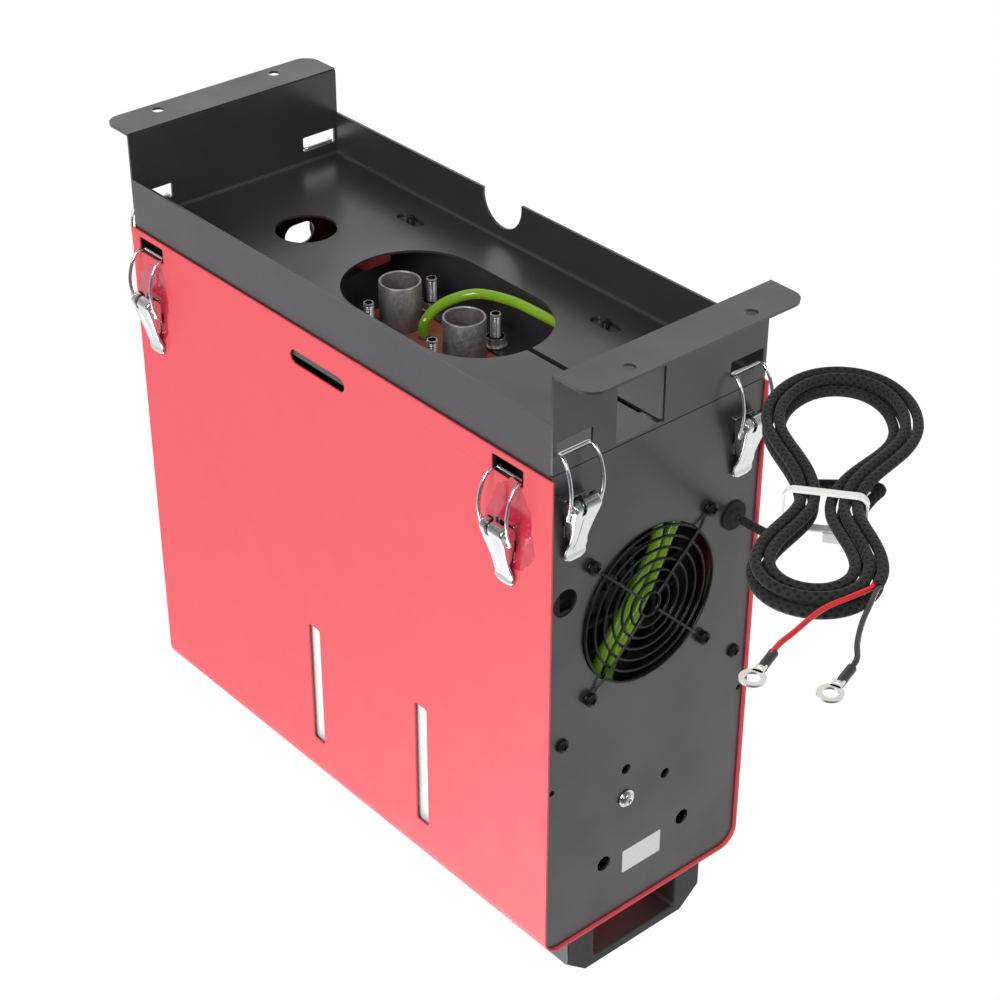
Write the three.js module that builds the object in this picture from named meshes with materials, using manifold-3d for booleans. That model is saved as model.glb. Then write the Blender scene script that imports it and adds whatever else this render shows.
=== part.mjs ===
// A portable diesel air heater in a sheet-metal case, in millimetres, +Z up, standing on its two feet.
// The origin lies on the ground under the middle of the case. +X points to the hot-air end, -X to the
// intake end with its fan guard, and -Y is the front of the red cover.
import * as THREE from 'three';
import { mergeVertices } from 'three/addons/utils/BufferGeometryUtils.js';
import Module from 'manifold-3d';

const wasm = await Module();
wasm.setup();

// Clearances
const gap = 0.3; // between pieces that touch on the real heater
const runningGap = 0.4; // around a shaft or a wire that turns

// Case
const caseLength = 358; // over the outer faces of the two end plates
const caseWidth = 149; // over the red cover
const caseTop = 367.5; // top of the cover above the ground
const coverSheet = 1.2;
const coverCorner = 12; // outer radius of the cover's two long edges
const coverOverhang = 2; // how far the cover stands past each end plate
const plateSheet = 1.5;

// Tray and feet
const traySheet = 1.5;
const floorUnder = 54; // underside of the tray's floor above the ground
const trayWallDrop = 26.4; // the front and back walls hang this far below the floor
const footReach = 25;
const footCorner = 10;
const footHoleRadius = 3.5;
const footHoleInset = 16.5; // from the end wall
const footHoleSpacing = 82;
const lipHeight = 22; // the lips that stand inside the cover
const coverClearance = 2.1; // between the tray's floor and the cover's lower edge

// Openings in the tray
const pipeOpening = { x: -13, y: -0.5, length: 135.5, width: 81 };
const drainHole = { x: 107, y: -4.5, radius: 18 };
const harnessNotch = { x: 24.3, z: 30.6, radius: 16.4 };
const hoseSlit = { y: -0.6, width: 3.5 };
const intakeCutout = { y: -15.3, width: 32.7 };

// Latches: eight sprung draw latches, two on each side of the case
const latchWindow = { width: 23.4, height: 9 };
const endLatchSpread = 58.7; // from the middle of the end plate
const endHookHeight = 46.5; // top edge of the window in the tray's end wall
const sideHookHeight = 70; // top edge of the window in the tray's lip
const sideLatchLeft = -148;
const sideLatchRight = 161.6;
const coverWindowRise = 1; // the cover's window ends this far above the lip's
const latchSheet = 1;
const latchWidth = 17; // over the lever's cheeks at the hinge
const latchNeckWidth = 12.4;
const latchTongueWidth = 14.4;
const leverTop = 12.5; // how far the lever's web stands off the case at the hinge
const leverStart = 24.5; // from the hook edge to the lever's hinge end
const leverNeck = 49.5;
const leverTip = 61;
const hingeOut = 7.2; // hinge pin, from the face of the case
const hingeUp = 27.5; // hinge pin, from the hook edge
const hingePinRadius = 1.2;
const bailPivotOut = 6.2;
const bailPivotUp = 33.5;
const bailWire = 1; // radius of the bail's wire
const bailSideGap = 0.4;

// Intake end plate
const heaterY = -4.2; // the heater's shaft, and the middle of the fan guard
const heaterZ = 161.1;
const intakeHoleRadius = 46.5;
const guardScrewSpacing = 82.5;
const guardWire = 0.8;
const guardRings = 7;
const guardInnerRing = 7;
const guardOuterRing = 45.4;
const cordHole = { y: 55.8, z: 132.5, radius: 7 };
const ventHole = { y: -63, z: 134, radius: 8 };
const shelfScrew = { y: 63.1, z: 224.6 };
const flangeHole = { y: 69.7, z: 253.4, radius: 1.8 };
const accessHole = { y: 30, z: 325.3, radius: 4.75 };
const smallHoleRadius = 3.2;
const smallHoles = [[-15.6, 266], [14.6, 285.2]];
const pumpScrew = { y: -15.1, z: 286.4 };

// Outlet end plate
const outletRadius = 36; // outside of the hot-air collar
const outletReach = 16;
const lightHole = { y: 41, z: 99, length: 22, width: 14 };

// Red cover
const grabSlot = { x: 6.2, z: 77.2, length: 47.5, height: 8.5 };
const levelSlot = { z: 296, width: 10.3, height: 84, places: [-76, 21] };

// Screws
const screwRadius = 1.9;
const screwHeadRadius = 4;
const screwHeadHeight = 2.4;
const screwLength = 6;
const bridgeScrewRadius = 2.3;

// Carrying handles
const handle = { y: -4.1, width: 103.2, height: 30.2, depth: 25, leg: 20.2, grip: 7 };
const handleChamfer = { across: 14.2, up: 12 };
const handleScrewDepth = 12;

// Heater on its bridge
const bridgeTop = 82.5; // underside of the bridge's top plate
const bridgeSheet = 1.5;
const bridgeFrom = -98;
const bridgeTo = 88;
const bridgeInside = 40.8; // half the width between the bridge's legs
const bridgeFoot = 14;
const bridgeScrew = { x: [-87.2, 76.6], y: 47.5, slotLength: 21, slotWidth: 8 };
const gasketThickness = 2;
const pipeSpacing = 54.8;
const pipeRadius = 12;
const pipeWall = 1.5;
const pipeEnd = 57; // lower end of the two pipes above the ground
const studSpacing = { x: 54.6, y: 44.6 };
const studRadius = 3;
const studEnd = 63;
const nutHeight = 5.4;
const nutRadius = 5.8;
const washerRadius = 6.4;
const washerThickness = 1.2;
const casingHalfWidth = 58;
const casingHalfHeight = 63;
const casingCorner = 22;
const casingWall = 2.5;
const casingFrom = -154;
const casingTo = 150;
const exchangerRadius = 40;
const exchangerFins = 10;
const finHeight = 9;
const burnerRadius = 26;
const motorRadius = 26;
const shaftRadius = 3;
const wheelRadius = 47;
const wheelBlades = 7;

// Fuel system
const tankFrom = -140;
const tankTo = 165;
const tankHalfWidth = 71.5; // close behind the level slots
const tankHeadroom = 15.5; // between the tank and the top of the case
const tankWall = 3;
const tankCorner = 14;
const shelfHeight = 236; // underside of the tank's shelf
const shelfSheet = 1.5;
const neck = { x: 70, y: 0, radius: 19, wall: 3, rise: 15.5 }; // rise: above the case
const capRadius = 25;
const capSeat = 2.5; // the cap's lower edge above the case
const capRoof = 8; // the cap's top above the end of the neck
const tankOutlet = { y: -40, z: 250, radius: 2.6, length: 10 };
const pump = { x: -160, radius: 11, from: 250, to: 328, stub: 10 };
const filter = { x: -165, radius: 8, from: -14, to: 18, stub: 6 };
const hoseRadius = 3;
const fuelInlet = { x: 7, y: 0 };

// Harness: a sleeved cord that leaves the intake end and lies in a tied hank on the ground
const cordRadius = 2.5;
const leadRadius = 1.2;
const hankX = -327.9; // the tie
const hankY = -50.5;
const hankTurn = Math.atan2(-0.8, -0.6); // direction of the hank's far end
const hankLoops = 4;
const hankPitch = 5.7; // between neighbouring turns, and between the two layers
const hankHalfLength = 95;
const hankShift = -15; // the near lobe is the longer one
const hankLobe = 30; // how far the lobes open past the waist
const hankLobeLength = 45;
const hankRound = -0.04; // share of the third wave that rounds the far ends of the lobes
const hankTail = 0.135; // of a turn, past the last full one
const hankSamples = 4000;
const tieThickness = 1.2;
const tieWidth = 4.6;

// Worked out from the sizes above
const endX = caseLength / 2;
const floorTop = floorUnder + traySheet;
const coverHalf = caseWidth / 2;
const innerHalf = coverHalf - coverSheet - gap; // outer faces of the tray's walls and lips
const coverBottom = floorTop + coverClearance;
const plateBottom = floorTop + gap;
const plateTop = caseTop - coverSheet - gap;
const plateInner = endX - plateSheet;
const screwHole = screwRadius + runningGap;
const gasketBottom = bridgeTop + bridgeSheet + gap;
const footBottom = gasketBottom + gasketThickness + gap;
const casingBottom = heaterZ - casingHalfHeight;
const shelfTop = shelfHeight + shelfSheet;
const tankBottom = shelfTop + gap;
const tankTopHeight = caseTop - tankHeadroom;
const neckTop = caseTop + neck.rise;
const capBottom = caseTop + capSeat;
const capTop = neckTop + capRoof;
const handleBottom = caseTop + gap;
const handleX = endX - handle.depth / 2;

const heater = new THREE.Group();

const blackPaint = [0x1d1b1e, 0.45, 0.3];
const redPaint = [0xe0222e, 0.4, 0.1];
const zinc = [0xc9ced2, 0.25, 0.95];
const steel = [0x8a8784, 0.45, 0.9];
const aluminium = [0xa9abad, 0.5, 0.9];
const blackPlastic = [0x141414, 0.6, 0];
const whitePlastic = [0xeeeeea, 0.5, 0];
const greenHose = [0x7fc41c, 0.2, 0];
const rubber = [0x101010, 0.85, 0];

// ---------------------------------------------------------------- shapes and solids

function addMesh(name, geometry, [color, roughness, metalness], parent = heater) {
  const mesh = new THREE.Mesh(geometry, new THREE.MeshStandardMaterial({ color, roughness, metalness }));
  mesh.name = name;
  parent.add(mesh);
  return mesh;
}

// A closed mesh as a solid. Triangles that shrank to a line at a turned piece's poles are left out.
function solidOf(geometry) {
  const bare = geometry.clone();
  bare.deleteAttribute('normal');
  bare.deleteAttribute('uv');
  const merged = mergeVertices(bare, 1e-4);
  const index = merged.index.array;
  const position = merged.attributes.position;
  const corners = [new THREE.Vector3(), new THREE.Vector3(), new THREE.Vector3()];
  const kept = [];
  let volume = 0;
  for (let i = 0; i < index.length; i += 3) {
    const [a, b, c] = [index[i], index[i + 1], index[i + 2]];
    if (a === b || b === c || c === a) continue;
    [a, b, c].forEach((vertex, k) => corners[k].fromBufferAttribute(position, vertex));
    volume += corners[0].dot(corners[1].clone().cross(corners[2]));
    kept.push(a, b, c);
  }
  if (volume < 0) kept.reverse();
  const vertProperties = new Float32Array(position.array);
  return new wasm.Manifold(new wasm.Mesh({ numProp: 3, vertProperties, triVerts: new Uint32Array(kept) }));
}

function geometryOf(solid) {
  const mesh = solid.getMesh();
  const geometry = new THREE.BufferGeometry();
  geometry.setAttribute('position', new THREE.BufferAttribute(mesh.vertProperties, 3));
  geometry.setIndex(new THREE.BufferAttribute(mesh.triVerts, 1));
  geometry.computeVertexNormals();
  return geometry;
}

const join = (first, ...others) => others.reduce((sum, solid) => sum.add(solid), first);
const cut = (first, ...others) => others.reduce((rest, solid) => rest.subtract(solid), first);

function block(fromX, toX, fromY, toY, fromZ, toZ) {
  const box = new THREE.BoxGeometry(toX - fromX, toY - fromY, toZ - fromZ);
  box.translate((fromX + toX) / 2, (fromY + toY) / 2, (fromZ + toZ) / 2);
  return solidOf(box);
}

// A round bar along an axis, from one coordinate to another, through (a, b) in the other two.
function rod(axis, radius, from, to, a, b, sides = 16) {
  const bar = new THREE.CylinderGeometry(radius, radius, to - from, sides);
  const middle = (from + to) / 2;
  if (axis === 'x') return solidOf(bar.rotateZ(-Math.PI / 2).translate(middle, a, b));
  if (axis === 'y') return solidOf(bar.translate(a, middle, b));
  return solidOf(bar.rotateX(Math.PI / 2).translate(a, b, middle));
}

// A turned piece about the Z axis, from a profile of [radius, height] points.
function turned(profile, sides) {
  const points = profile.map(([radius, height]) => new THREE.Vector2(radius, height));
  return new THREE.LatheGeometry(points, sides).rotateX(Math.PI / 2);
}

function outline(points) {
  return new THREE.Shape(points.map(([a, b]) => new THREE.Vector2(a, b)));
}

function circle(a, b, radius) {
  return new THREE.Path().absarc(a, b, radius, 0, 2 * Math.PI, true);
}

// A slot with round ends whose long side lies along the first axis.
function obround(a, b, length, width, Kind = THREE.Path) {
  const radius = width / 2;
  const reach = length / 2 - radius;
  const path = new Kind();
  path.absarc(a + reach, b, radius, -Math.PI / 2, Math.PI / 2, false);
  path.absarc(a - reach, b, radius, Math.PI / 2, Math.PI * 1.5, false);
  path.closePath();
  return path;
}

function roundedRectangle(fromA, toA, fromB, toB, radius, Kind = THREE.Shape) {
  const path = new Kind();
  path.absarc(toA - radius, fromB + radius, radius, -Math.PI / 2, 0, false);
  path.absarc(toA - radius, toB - radius, radius, 0, Math.PI / 2, false);
  path.absarc(fromA + radius, toB - radius, radius, Math.PI / 2, Math.PI, false);
  path.absarc(fromA + radius, fromB + radius, radius, Math.PI, Math.PI * 1.5, false);
  path.closePath();
  return path;
}

// Extrusions along each axis. The shape's axes are (y, z), (x, z) and (x, y) in turn.
function extrudeX(shape, from, to, curveSegments = 4) {
  const geometry = new THREE.ExtrudeGeometry(shape, { depth: to - from, bevelEnabled: false, curveSegments });
  const turn = new THREE.Matrix4().makeBasis(
    new THREE.Vector3(0, 1, 0), new THREE.Vector3(0, 0, 1), new THREE.Vector3(1, 0, 0));
  return solidOf(geometry.applyMatrix4(turn).translate(from, 0, 0));
}

function extrudeY(shape, from, to, curveSegments = 4) {
  const geometry = new THREE.ExtrudeGeometry(shape, { depth: to - from, bevelEnabled: false, curveSegments });
  const turn = new THREE.Matrix4().makeBasis(
    new THREE.Vector3(1, 0, 0), new THREE.Vector3(0, 0, 1), new THREE.Vector3(0, -1, 0));
  return solidOf(geometry.applyMatrix4(turn).translate(0, to, 0));
}

function extrudeZ(shape, from, to, curveSegments = 4) {
  const geometry = new THREE.ExtrudeGeometry(shape, { depth: to - from, bevelEnabled: false, curveSegments });
  return solidOf(geometry.translate(0, 0, from));
}

// A tube of a given number of sides along a curve.
function tube(curve, radius, sides, steps) {
  const section = [];
  for (let side = 0; side < sides; side += 1) {
    const angle = (2 * Math.PI * (side + 0.5)) / sides;
    section.push([radius * Math.cos(angle), radius * Math.sin(angle)]);
  }
  curve.arcLengthDivisions = 40 * steps;
  const geometry = new THREE.ExtrudeGeometry(outline(section), { steps, extrudePath: curve });
  return solidOf(geometry);
}

// A path that runs straight from each of its points to the next, for wire bent at a press.
class BentPath extends THREE.Curve {
  constructor(points) {
    super();
    this.points = points.map(([x, y, z]) => new THREE.Vector3(x, y, z));
  }

  getPointAt(t) {
    return this.points[Math.round(t * (this.points.length - 1))].clone();
  }

  getTangentAt(t) {
    const last = this.points.length - 1;
    const here = Math.round(t * last);
    return this.points[Math.min(here + 1, last)].clone().sub(this.points[Math.max(here - 1, 0)]).normalize();
  }
}

function through(points) {
  const places = points.map(([x, y, z]) => new THREE.Vector3(x, y, z));
  return new THREE.CatmullRomCurve3(places, false, 'centripetal');
}

// ---------------------------------------------------------------- screws

// A pan-head screw whose head seats at height 0 and whose shank points down.
function panScrew(shankRadius, headRadius, length) {
  return turned([[0, -length], [shankRadius, -length], [shankRadius, 0], [headRadius, 0],
    [headRadius, screwHeadHeight * 0.45], [headRadius * 0.6, screwHeadHeight], [0, screwHeadHeight]], 7);
}

// Screws through an end plate. side is -1 at the intake end and 1 at the outlet end.
function endScrew(side, y, z, lift = gap) {
  const screw = panScrew(screwRadius, screwHeadRadius, screwLength);
  screw.rotateY((side * Math.PI) / 2);
  return screw.translate(side * (endX + lift), y, z);
}

const guardCorners = [-1, 1].flatMap((a) => [-1, 1].map((b) => [
  heaterY + (a * guardScrewSpacing) / 2, heaterZ + (b * guardScrewSpacing) / 2]));
const guardLift = 2 * (gap + guardWire);

guardCorners.forEach(([y, z], index) => {
  addMesh(`guard_screw_${index + 1}`, geometryOf(solidOf(endScrew(-1, y, z, guardLift))), blackPaint);
});
[-shelfScrew.y, shelfScrew.y].forEach((y, index) => {
  addMesh(`shelf_screw_${index + 1}`, geometryOf(solidOf(endScrew(-1, y, shelfScrew.z))), blackPaint);
});
addMesh('pump_screw', geometryOf(solidOf(endScrew(-1, pumpScrew.y, pumpScrew.z))), zinc);

// ---------------------------------------------------------------- latches

const latchPlaces = [
  { name: 'intake_front', x: -endX, y: -endLatchSpread, turn: Math.PI, hook: endHookHeight },
  { name: 'intake_back', x: -endX, y: endLatchSpread, turn: Math.PI, hook: endHookHeight },
  { name: 'outlet_front', x: endX, y: -endLatchSpread, turn: 0, hook: endHookHeight },
  { name: 'outlet_back', x: endX, y: endLatchSpread, turn: 0, hook: endHookHeight },
  { name: 'front_left', x: sideLatchLeft, y: -coverHalf, turn: -Math.PI / 2, hook: sideHookHeight },
  { name: 'front_right', x: sideLatchRight, y: -coverHalf, turn: -Math.PI / 2, hook: sideHookHeight },
  { name: 'back_left', x: sideLatchLeft, y: coverHalf, turn: Math.PI / 2, hook: sideHookHeight },
  { name: 'back_right', x: sideLatchRight, y: coverHalf, turn: Math.PI / 2, hook: sideHookHeight },
];

// In a latch's own frame +X points away from the case, Z is measured up from the hook edge, and Y runs
// along the face that it is fixed to. Outlines of one half are mirrored to the other.
const mirrored = (half) => outline([...half, ...half.map(([y, z]) => [-y, z]).reverse()]);

// The lever is a U-shaped channel, deep at the hinge and flat at its tongue, open towards the case.
function latchLever() {
  const webSlope = 0.318; // the web falls this much for each millimetre along the lever
  const webAt = (z) => leverTop - webSlope * (z - leverStart);
  const neckOut = webAt(leverNeck);
  const side = outline([[2, leverStart + 2], [hingeOut, leverStart - 1.5], [leverTop, leverStart],
    [neckOut, leverNeck], [neckOut + 1.2, leverTip - 1], [neckOut, leverTip - 0.8],
    [neckOut - 1.2, leverNeck + 0.5], [2, leverNeck - 2.5]]);
  const inside = outline([[-3, leverStart - 5], [webAt(leverStart - 5) - 1.1, leverStart - 5],
    [webAt(leverNeck - 1.5) - 1.1, leverNeck - 1.5], [-3, leverNeck - 1.5]]);
  const wide = latchWidth / 2;
  const narrow = latchNeckWidth / 2;
  const tongue = latchTongueWidth / 2;
  const plan = (inset) => mirrored([[wide - inset, leverStart - 6], [wide - inset, leverStart + 4],
    [narrow - inset, leverNeck], [tongue - inset, leverNeck + 4], [tongue - inset, leverTip - 4],
    [tongue - 3 - inset, leverTip - 0.6], [0, leverTip]]);
  const body = extrudeY(side, -wide - 1, wide + 1).intersect(extrudeX(plan(0), 0, leverTop + 5));
  const room = extrudeY(inside, -wide, wide).intersect(extrudeX(plan(latchSheet), -5, leverTop + 5));
  return cut(body, room,
    rod('y', hingePinRadius + runningGap, -latchWidth, latchWidth, hingeOut, hingeUp, 6),
    rod('y', bailWire + runningGap, -latchWidth, latchWidth, bailPivotOut, bailPivotUp, 6));
}

// The bail is one bent wire: both ends turn inwards through the lever's cheeks, the legs bow away from
// the case, and the crossbar hooks under the edge of the window.
function latchBail(hookDepth) {
  const leg = latchWidth / 2 + bailSideGap + bailWire;
  const stub = latchWidth / 2 - latchSheet - gap;
  const cheek = latchWidth / 2 + 0.2;
  const half = [[bailPivotOut, stub, bailPivotUp], [bailPivotOut, cheek, bailPivotUp],
    [bailPivotOut + 0.4, leg, bailPivotUp - 1.6], [8.6, leg + 0.2, 25], [9.4, leg + 0.6, 15],
    [6.6, leg + 0.4, 4], [0.4, leg - 0.6, -1.3], [-hookDepth, leg - 2, -bailWire - gap]];
  const path = [...half, ...half.map(([x, y, z]) => [x, -y, z]).reverse()];
  return tube(new BentPath(path), bailWire, 4, path.length - 1);
}

// The base is a plate spot-welded to the case, with two ears that carry the riveted hinge pin.
function latchBase() {
  const earHalf = latchWidth / 2 - latchSheet - runningGap;
  const foot = -coverSheet / 2;
  const plate = block(foot, 1.5, -earHalf, earHalf, leverStart + 0.6, leverStart + 22);
  const ear = outline([[foot, leverStart + 0.6], [hingeOut + 1, hingeUp - 2.4], [hingeOut + 2.4, hingeUp],
    [hingeOut + 1, hingeUp + 2.4], [foot, hingeUp + 5]]);
  const pinEnd = latchWidth / 2 + gap;
  return join(plate, extrudeY(ear, -earHalf, 1.2 - earHalf), extrudeY(ear, earHalf - 1.2, earHalf),
    rod('y', hingePinRadius, -pinEnd, pinEnd, hingeOut, hingeUp, 6));
}

// The bases of the latches that a test picks, in their places on the case.
function latchBases(picked) {
  const base = latchBase();
  return latchPlaces.filter(picked).map(({ x, y, turn, hook }) => (
    base.rotate([0, 0, THREE.MathUtils.radToDeg(turn)]).translate([x, y, hook])));
}

const leverGeometry = geometryOf(latchLever());
const endBail = geometryOf(latchBail(plateSheet / 2));
const sideBail = geometryOf(latchBail(coverSheet + gap + traySheet / 2));
for (const { name, x, y, turn, hook } of latchPlaces) {
  const place = new THREE.Group();
  place.position.set(x, y, hook);
  place.rotation.z = turn;
  heater.add(place);
  addMesh(`lever_${name}`, leverGeometry, zinc, place);
  addMesh(`bail_${name}`, hook === endHookHeight ? endBail : sideBail, zinc, place);
}

// ---------------------------------------------------------------- tray, cover and end plates

const sideLatches = latchPlaces.filter(({ hook }) => hook === sideHookHeight);

// The tray's floor stands on two end walls with feet turned outwards. Low walls hang at the front and
// back, and two lips stand up inside the cover to take the side latches.
function baseTray() {
  const floorShape = roundedRectangle(-endX, endX, -innerHalf, innerHalf, 1.5);
  floorShape.holes.push(obround(pipeOpening.x, pipeOpening.y, pipeOpening.length, pipeOpening.width));
  floorShape.holes.push(circle(drainHole.x, drainHole.y, drainHole.radius));
  for (const x of bridgeScrew.x) {
    for (const y of [-bridgeScrew.y, bridgeScrew.y]) {
      floorShape.holes.push(obround(x, y, bridgeScrew.slotLength, bridgeScrew.slotWidth));
    }
  }
  const rim = floorUnder - trayWallDrop;
  const solids = [];
  for (const side of [-1, 1]) {
    const wallY = [side * innerHalf, side * (innerHalf - traySheet)].sort((a, b) => a - b);
    const endWallX = [side * endX, side * (endX - traySheet)].sort((a, b) => a - b);
    solids.push(block(-endX, endX, ...wallY, rim, floorUnder + 1));
    solids.push(block(-plateInner + gap, plateInner - gap, ...wallY, floorUnder, floorTop + lipHeight));
    solids.push(block(...endWallX, -innerHalf, innerHalf, 0, floorUnder + 1));
    solids.push(foot(side));
  }
  const tray = join(extrudeZ(floorShape, floorUnder, floorTop, 5), ...solids);
  const cutters = latchPlaces.map(({ x, y, turn, hook }) => {
    const window = block(-5, 5, -latchWindow.width / 2, latchWindow.width / 2, -latchWindow.height, 0);
    return window.rotate([0, 0, THREE.MathUtils.radToDeg(turn)]).translate([x, y, hook]);
  });
  const notch = rod('y', harnessNotch.radius, 60, 80, harnessNotch.x, harnessNotch.z, 18);
  const notchMouth = block(harnessNotch.x - harnessNotch.radius, harnessNotch.x + harnessNotch.radius,
    60, 80, rim - 5, harnessNotch.z);
  const slit = block(-endX - 1, pipeOpening.x - pipeOpening.length / 2 + 5,
    hoseSlit.y - hoseSlit.width / 2, hoseSlit.y + hoseSlit.width / 2, floorUnder - 1, floorTop + 1);
  const wallCutout = block(-endX - 1, -endX + 4, intakeCutout.y - intakeCutout.width / 2,
    intakeCutout.y + intakeCutout.width / 2, traySheet, floorUnder);
  return cut(tray, ...cutters, notch, notchMouth, slit, wallCutout);
}

function foot(side) {
  const reach = endX + footReach;
  const shape = new THREE.Shape();
  shape.moveTo(endX - traySheet, -innerHalf);
  shape.lineTo(reach - footCorner, -innerHalf);
  shape.absarc(reach - footCorner, -innerHalf + footCorner, footCorner, -Math.PI / 2, 0, false);
  shape.absarc(reach - footCorner, innerHalf - footCorner, footCorner, 0, Math.PI / 2, false);
  shape.lineTo(endX - traySheet, innerHalf);
  for (const y of [-footHoleSpacing / 2, footHoleSpacing / 2]) {
    shape.holes.push(circle(endX + footHoleInset, y, footHoleRadius));
  }
  const plate = extrudeZ(shape, 0, traySheet);
  return side > 0 ? plate : plate.mirror([1, 0, 0]);
}

// The red cover is one sheet bent over the front, top and back.
function outerCover() {
  const inner = coverHalf - coverSheet;
  const bend = coverCorner - coverSheet;
  const shape = new THREE.Shape();
  shape.moveTo(coverHalf, coverBottom);
  shape.lineTo(coverHalf, caseTop - coverCorner);
  shape.absarc(coverHalf - coverCorner, caseTop - coverCorner, coverCorner, 0, Math.PI / 2, false);
  shape.absarc(coverCorner - coverHalf, caseTop - coverCorner, coverCorner, Math.PI / 2, Math.PI, false);
  shape.lineTo(-coverHalf, coverBottom);
  shape.lineTo(-inner, coverBottom);
  shape.absarc(bend - inner, caseTop - coverCorner, bend, Math.PI, Math.PI / 2, true);
  shape.absarc(inner - bend, caseTop - coverCorner, bend, Math.PI / 2, 0, true);
  shape.lineTo(inner, coverBottom);
  const cover = extrudeX(shape, -endX - coverOverhang, endX + coverOverhang, 5);
  const half = latchWindow.width / 2;
  const cutters = sideLatches.map(({ x, y, hook }) => block(x - half, x + half, y - 5, y + 5,
    hook - latchWindow.height, hook + coverWindowRise));
  const front = [-coverHalf - 2, -coverHalf + 5];
  cutters.push(extrudeY(obround(grabSlot.x, grabSlot.z, grabSlot.length, grabSlot.height, THREE.Shape),
    ...front));
  for (const x of levelSlot.places) {
    const slot = roundedRectangle(x - levelSlot.width / 2, x + levelSlot.width / 2,
      levelSlot.z - levelSlot.height / 2, levelSlot.z + levelSlot.height / 2, 1.5);
    cutters.push(extrudeY(slot, ...front, 2));
  }
  cutters.push(rod('z', neck.radius + 3, caseTop - 5, caseTop + 2, neck.x, neck.y, 18));
  for (const [x, y] of handleScrewPlaces()) {
    cutters.push(rod('z', screwHole, caseTop - 5, caseTop + 2, x, y, 8));
  }
  return join(cut(cover, ...cutters), ...latchBases(({ hook }) => hook === sideHookHeight));
}

function plateShape() {
  const shape = new THREE.Shape();
  const corner = coverCorner - coverSheet - gap;
  shape.moveTo(-innerHalf, plateBottom);
  shape.lineTo(innerHalf, plateBottom);
  shape.absarc(innerHalf - corner, plateTop - corner, corner, 0, Math.PI / 2, false);
  shape.absarc(corner - innerHalf, plateTop - corner, corner, Math.PI / 2, Math.PI, false);
  for (const side of [-1, 1]) {
    shape.holes.push(circle(side * flangeHole.y, flangeHole.z, flangeHole.radius));
    shape.holes.push(circle(side * accessHole.y, accessHole.z, accessHole.radius));
  }
  return shape;
}

function intakeEndPlate() {
  const shape = plateShape();
  shape.holes.push(circle(pumpScrew.y, pumpScrew.z, screwHole));
  [-1, 1].forEach((side) => shape.holes.push(circle(side * shelfScrew.y, shelfScrew.z, screwHole)));
  guardCorners.forEach(([y, z]) => shape.holes.push(circle(y, z, screwHole)));
  smallHoles.forEach(([y, z]) => shape.holes.push(circle(y, z, smallHoleRadius)));
  const openings = [rod('x', intakeHoleRadius, -endX - 2, -endX + 4, heaterY, heaterZ, 32),
    rod('x', cordHole.radius, -endX - 2, -endX + 4, cordHole.y, cordHole.z, 12),
    rod('x', ventHole.radius, -endX - 2, -endX + 4, ventHole.y, ventHole.z, 12)];
  return join(cut(extrudeX(shape, -endX, -plateInner, 4), ...openings), ...latchBases(({ x }) => x === -endX));
}

function outletEndPlate() {
  const shape = plateShape();
  shape.holes.push(obround(lightHole.y, lightHole.z, lightHole.length, lightHole.width));
  const opening = rod('x', outletRadius + gap, endX - 4, endX + 2, heaterY, heaterZ, 20);
  const shelfScrews = [-shelfScrew.y, shelfScrew.y].map((y) => (
    solidOf(endScrew(1, y, shelfScrew.z, -plateSheet / 2))));
  const bases = latchBases(({ x }) => x === endX);
  return join(cut(extrudeX(shape, plateInner, endX, 4), opening), ...bases, ...shelfScrews);
}

addMesh('base_tray', geometryOf(baseTray()), blackPaint);
addMesh('outer_cover', geometryOf(outerCover()), redPaint);
addMesh('intake_end_plate', geometryOf(intakeEndPlate()), blackPaint);
addMesh('outlet_end_plate', geometryOf(outletEndPlate()), blackPaint);

// The shelf carries the tank between the end plates, cut away at the intake end for pump and hoses.
function tankShelf() {
  const reach = plateInner - gap;
  const shelf = block(-reach, reach, -innerHalf + 1, innerHalf - 1, shelfHeight, shelfTop);
  const tabs = [-1, 1].flatMap((side) => [-1, 1].map((end) => {
    const y = [side * (innerHalf - 1), side * (shelfScrew.y - 9)].sort((a, b) => a - b);
    const x = [end * reach, end * (reach - shelfSheet)].sort((a, b) => a - b);
    return cut(block(...x, ...y, shelfScrew.z - 9, shelfHeight + 1),
      rod('x', screwHole, x[0] - 1, x[1] + 1, side * shelfScrew.y, shelfScrew.z, 8));
  }));
  const hoseRoom = block(-reach - 1, tankFrom - 2, -50, 50, shelfHeight - 1, shelfTop + 1);
  return join(cut(shelf, hoseRoom), ...tabs);
}

addMesh('tank_shelf', geometryOf(tankShelf()), blackPaint);

// ---------------------------------------------------------------- fan guard

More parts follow.
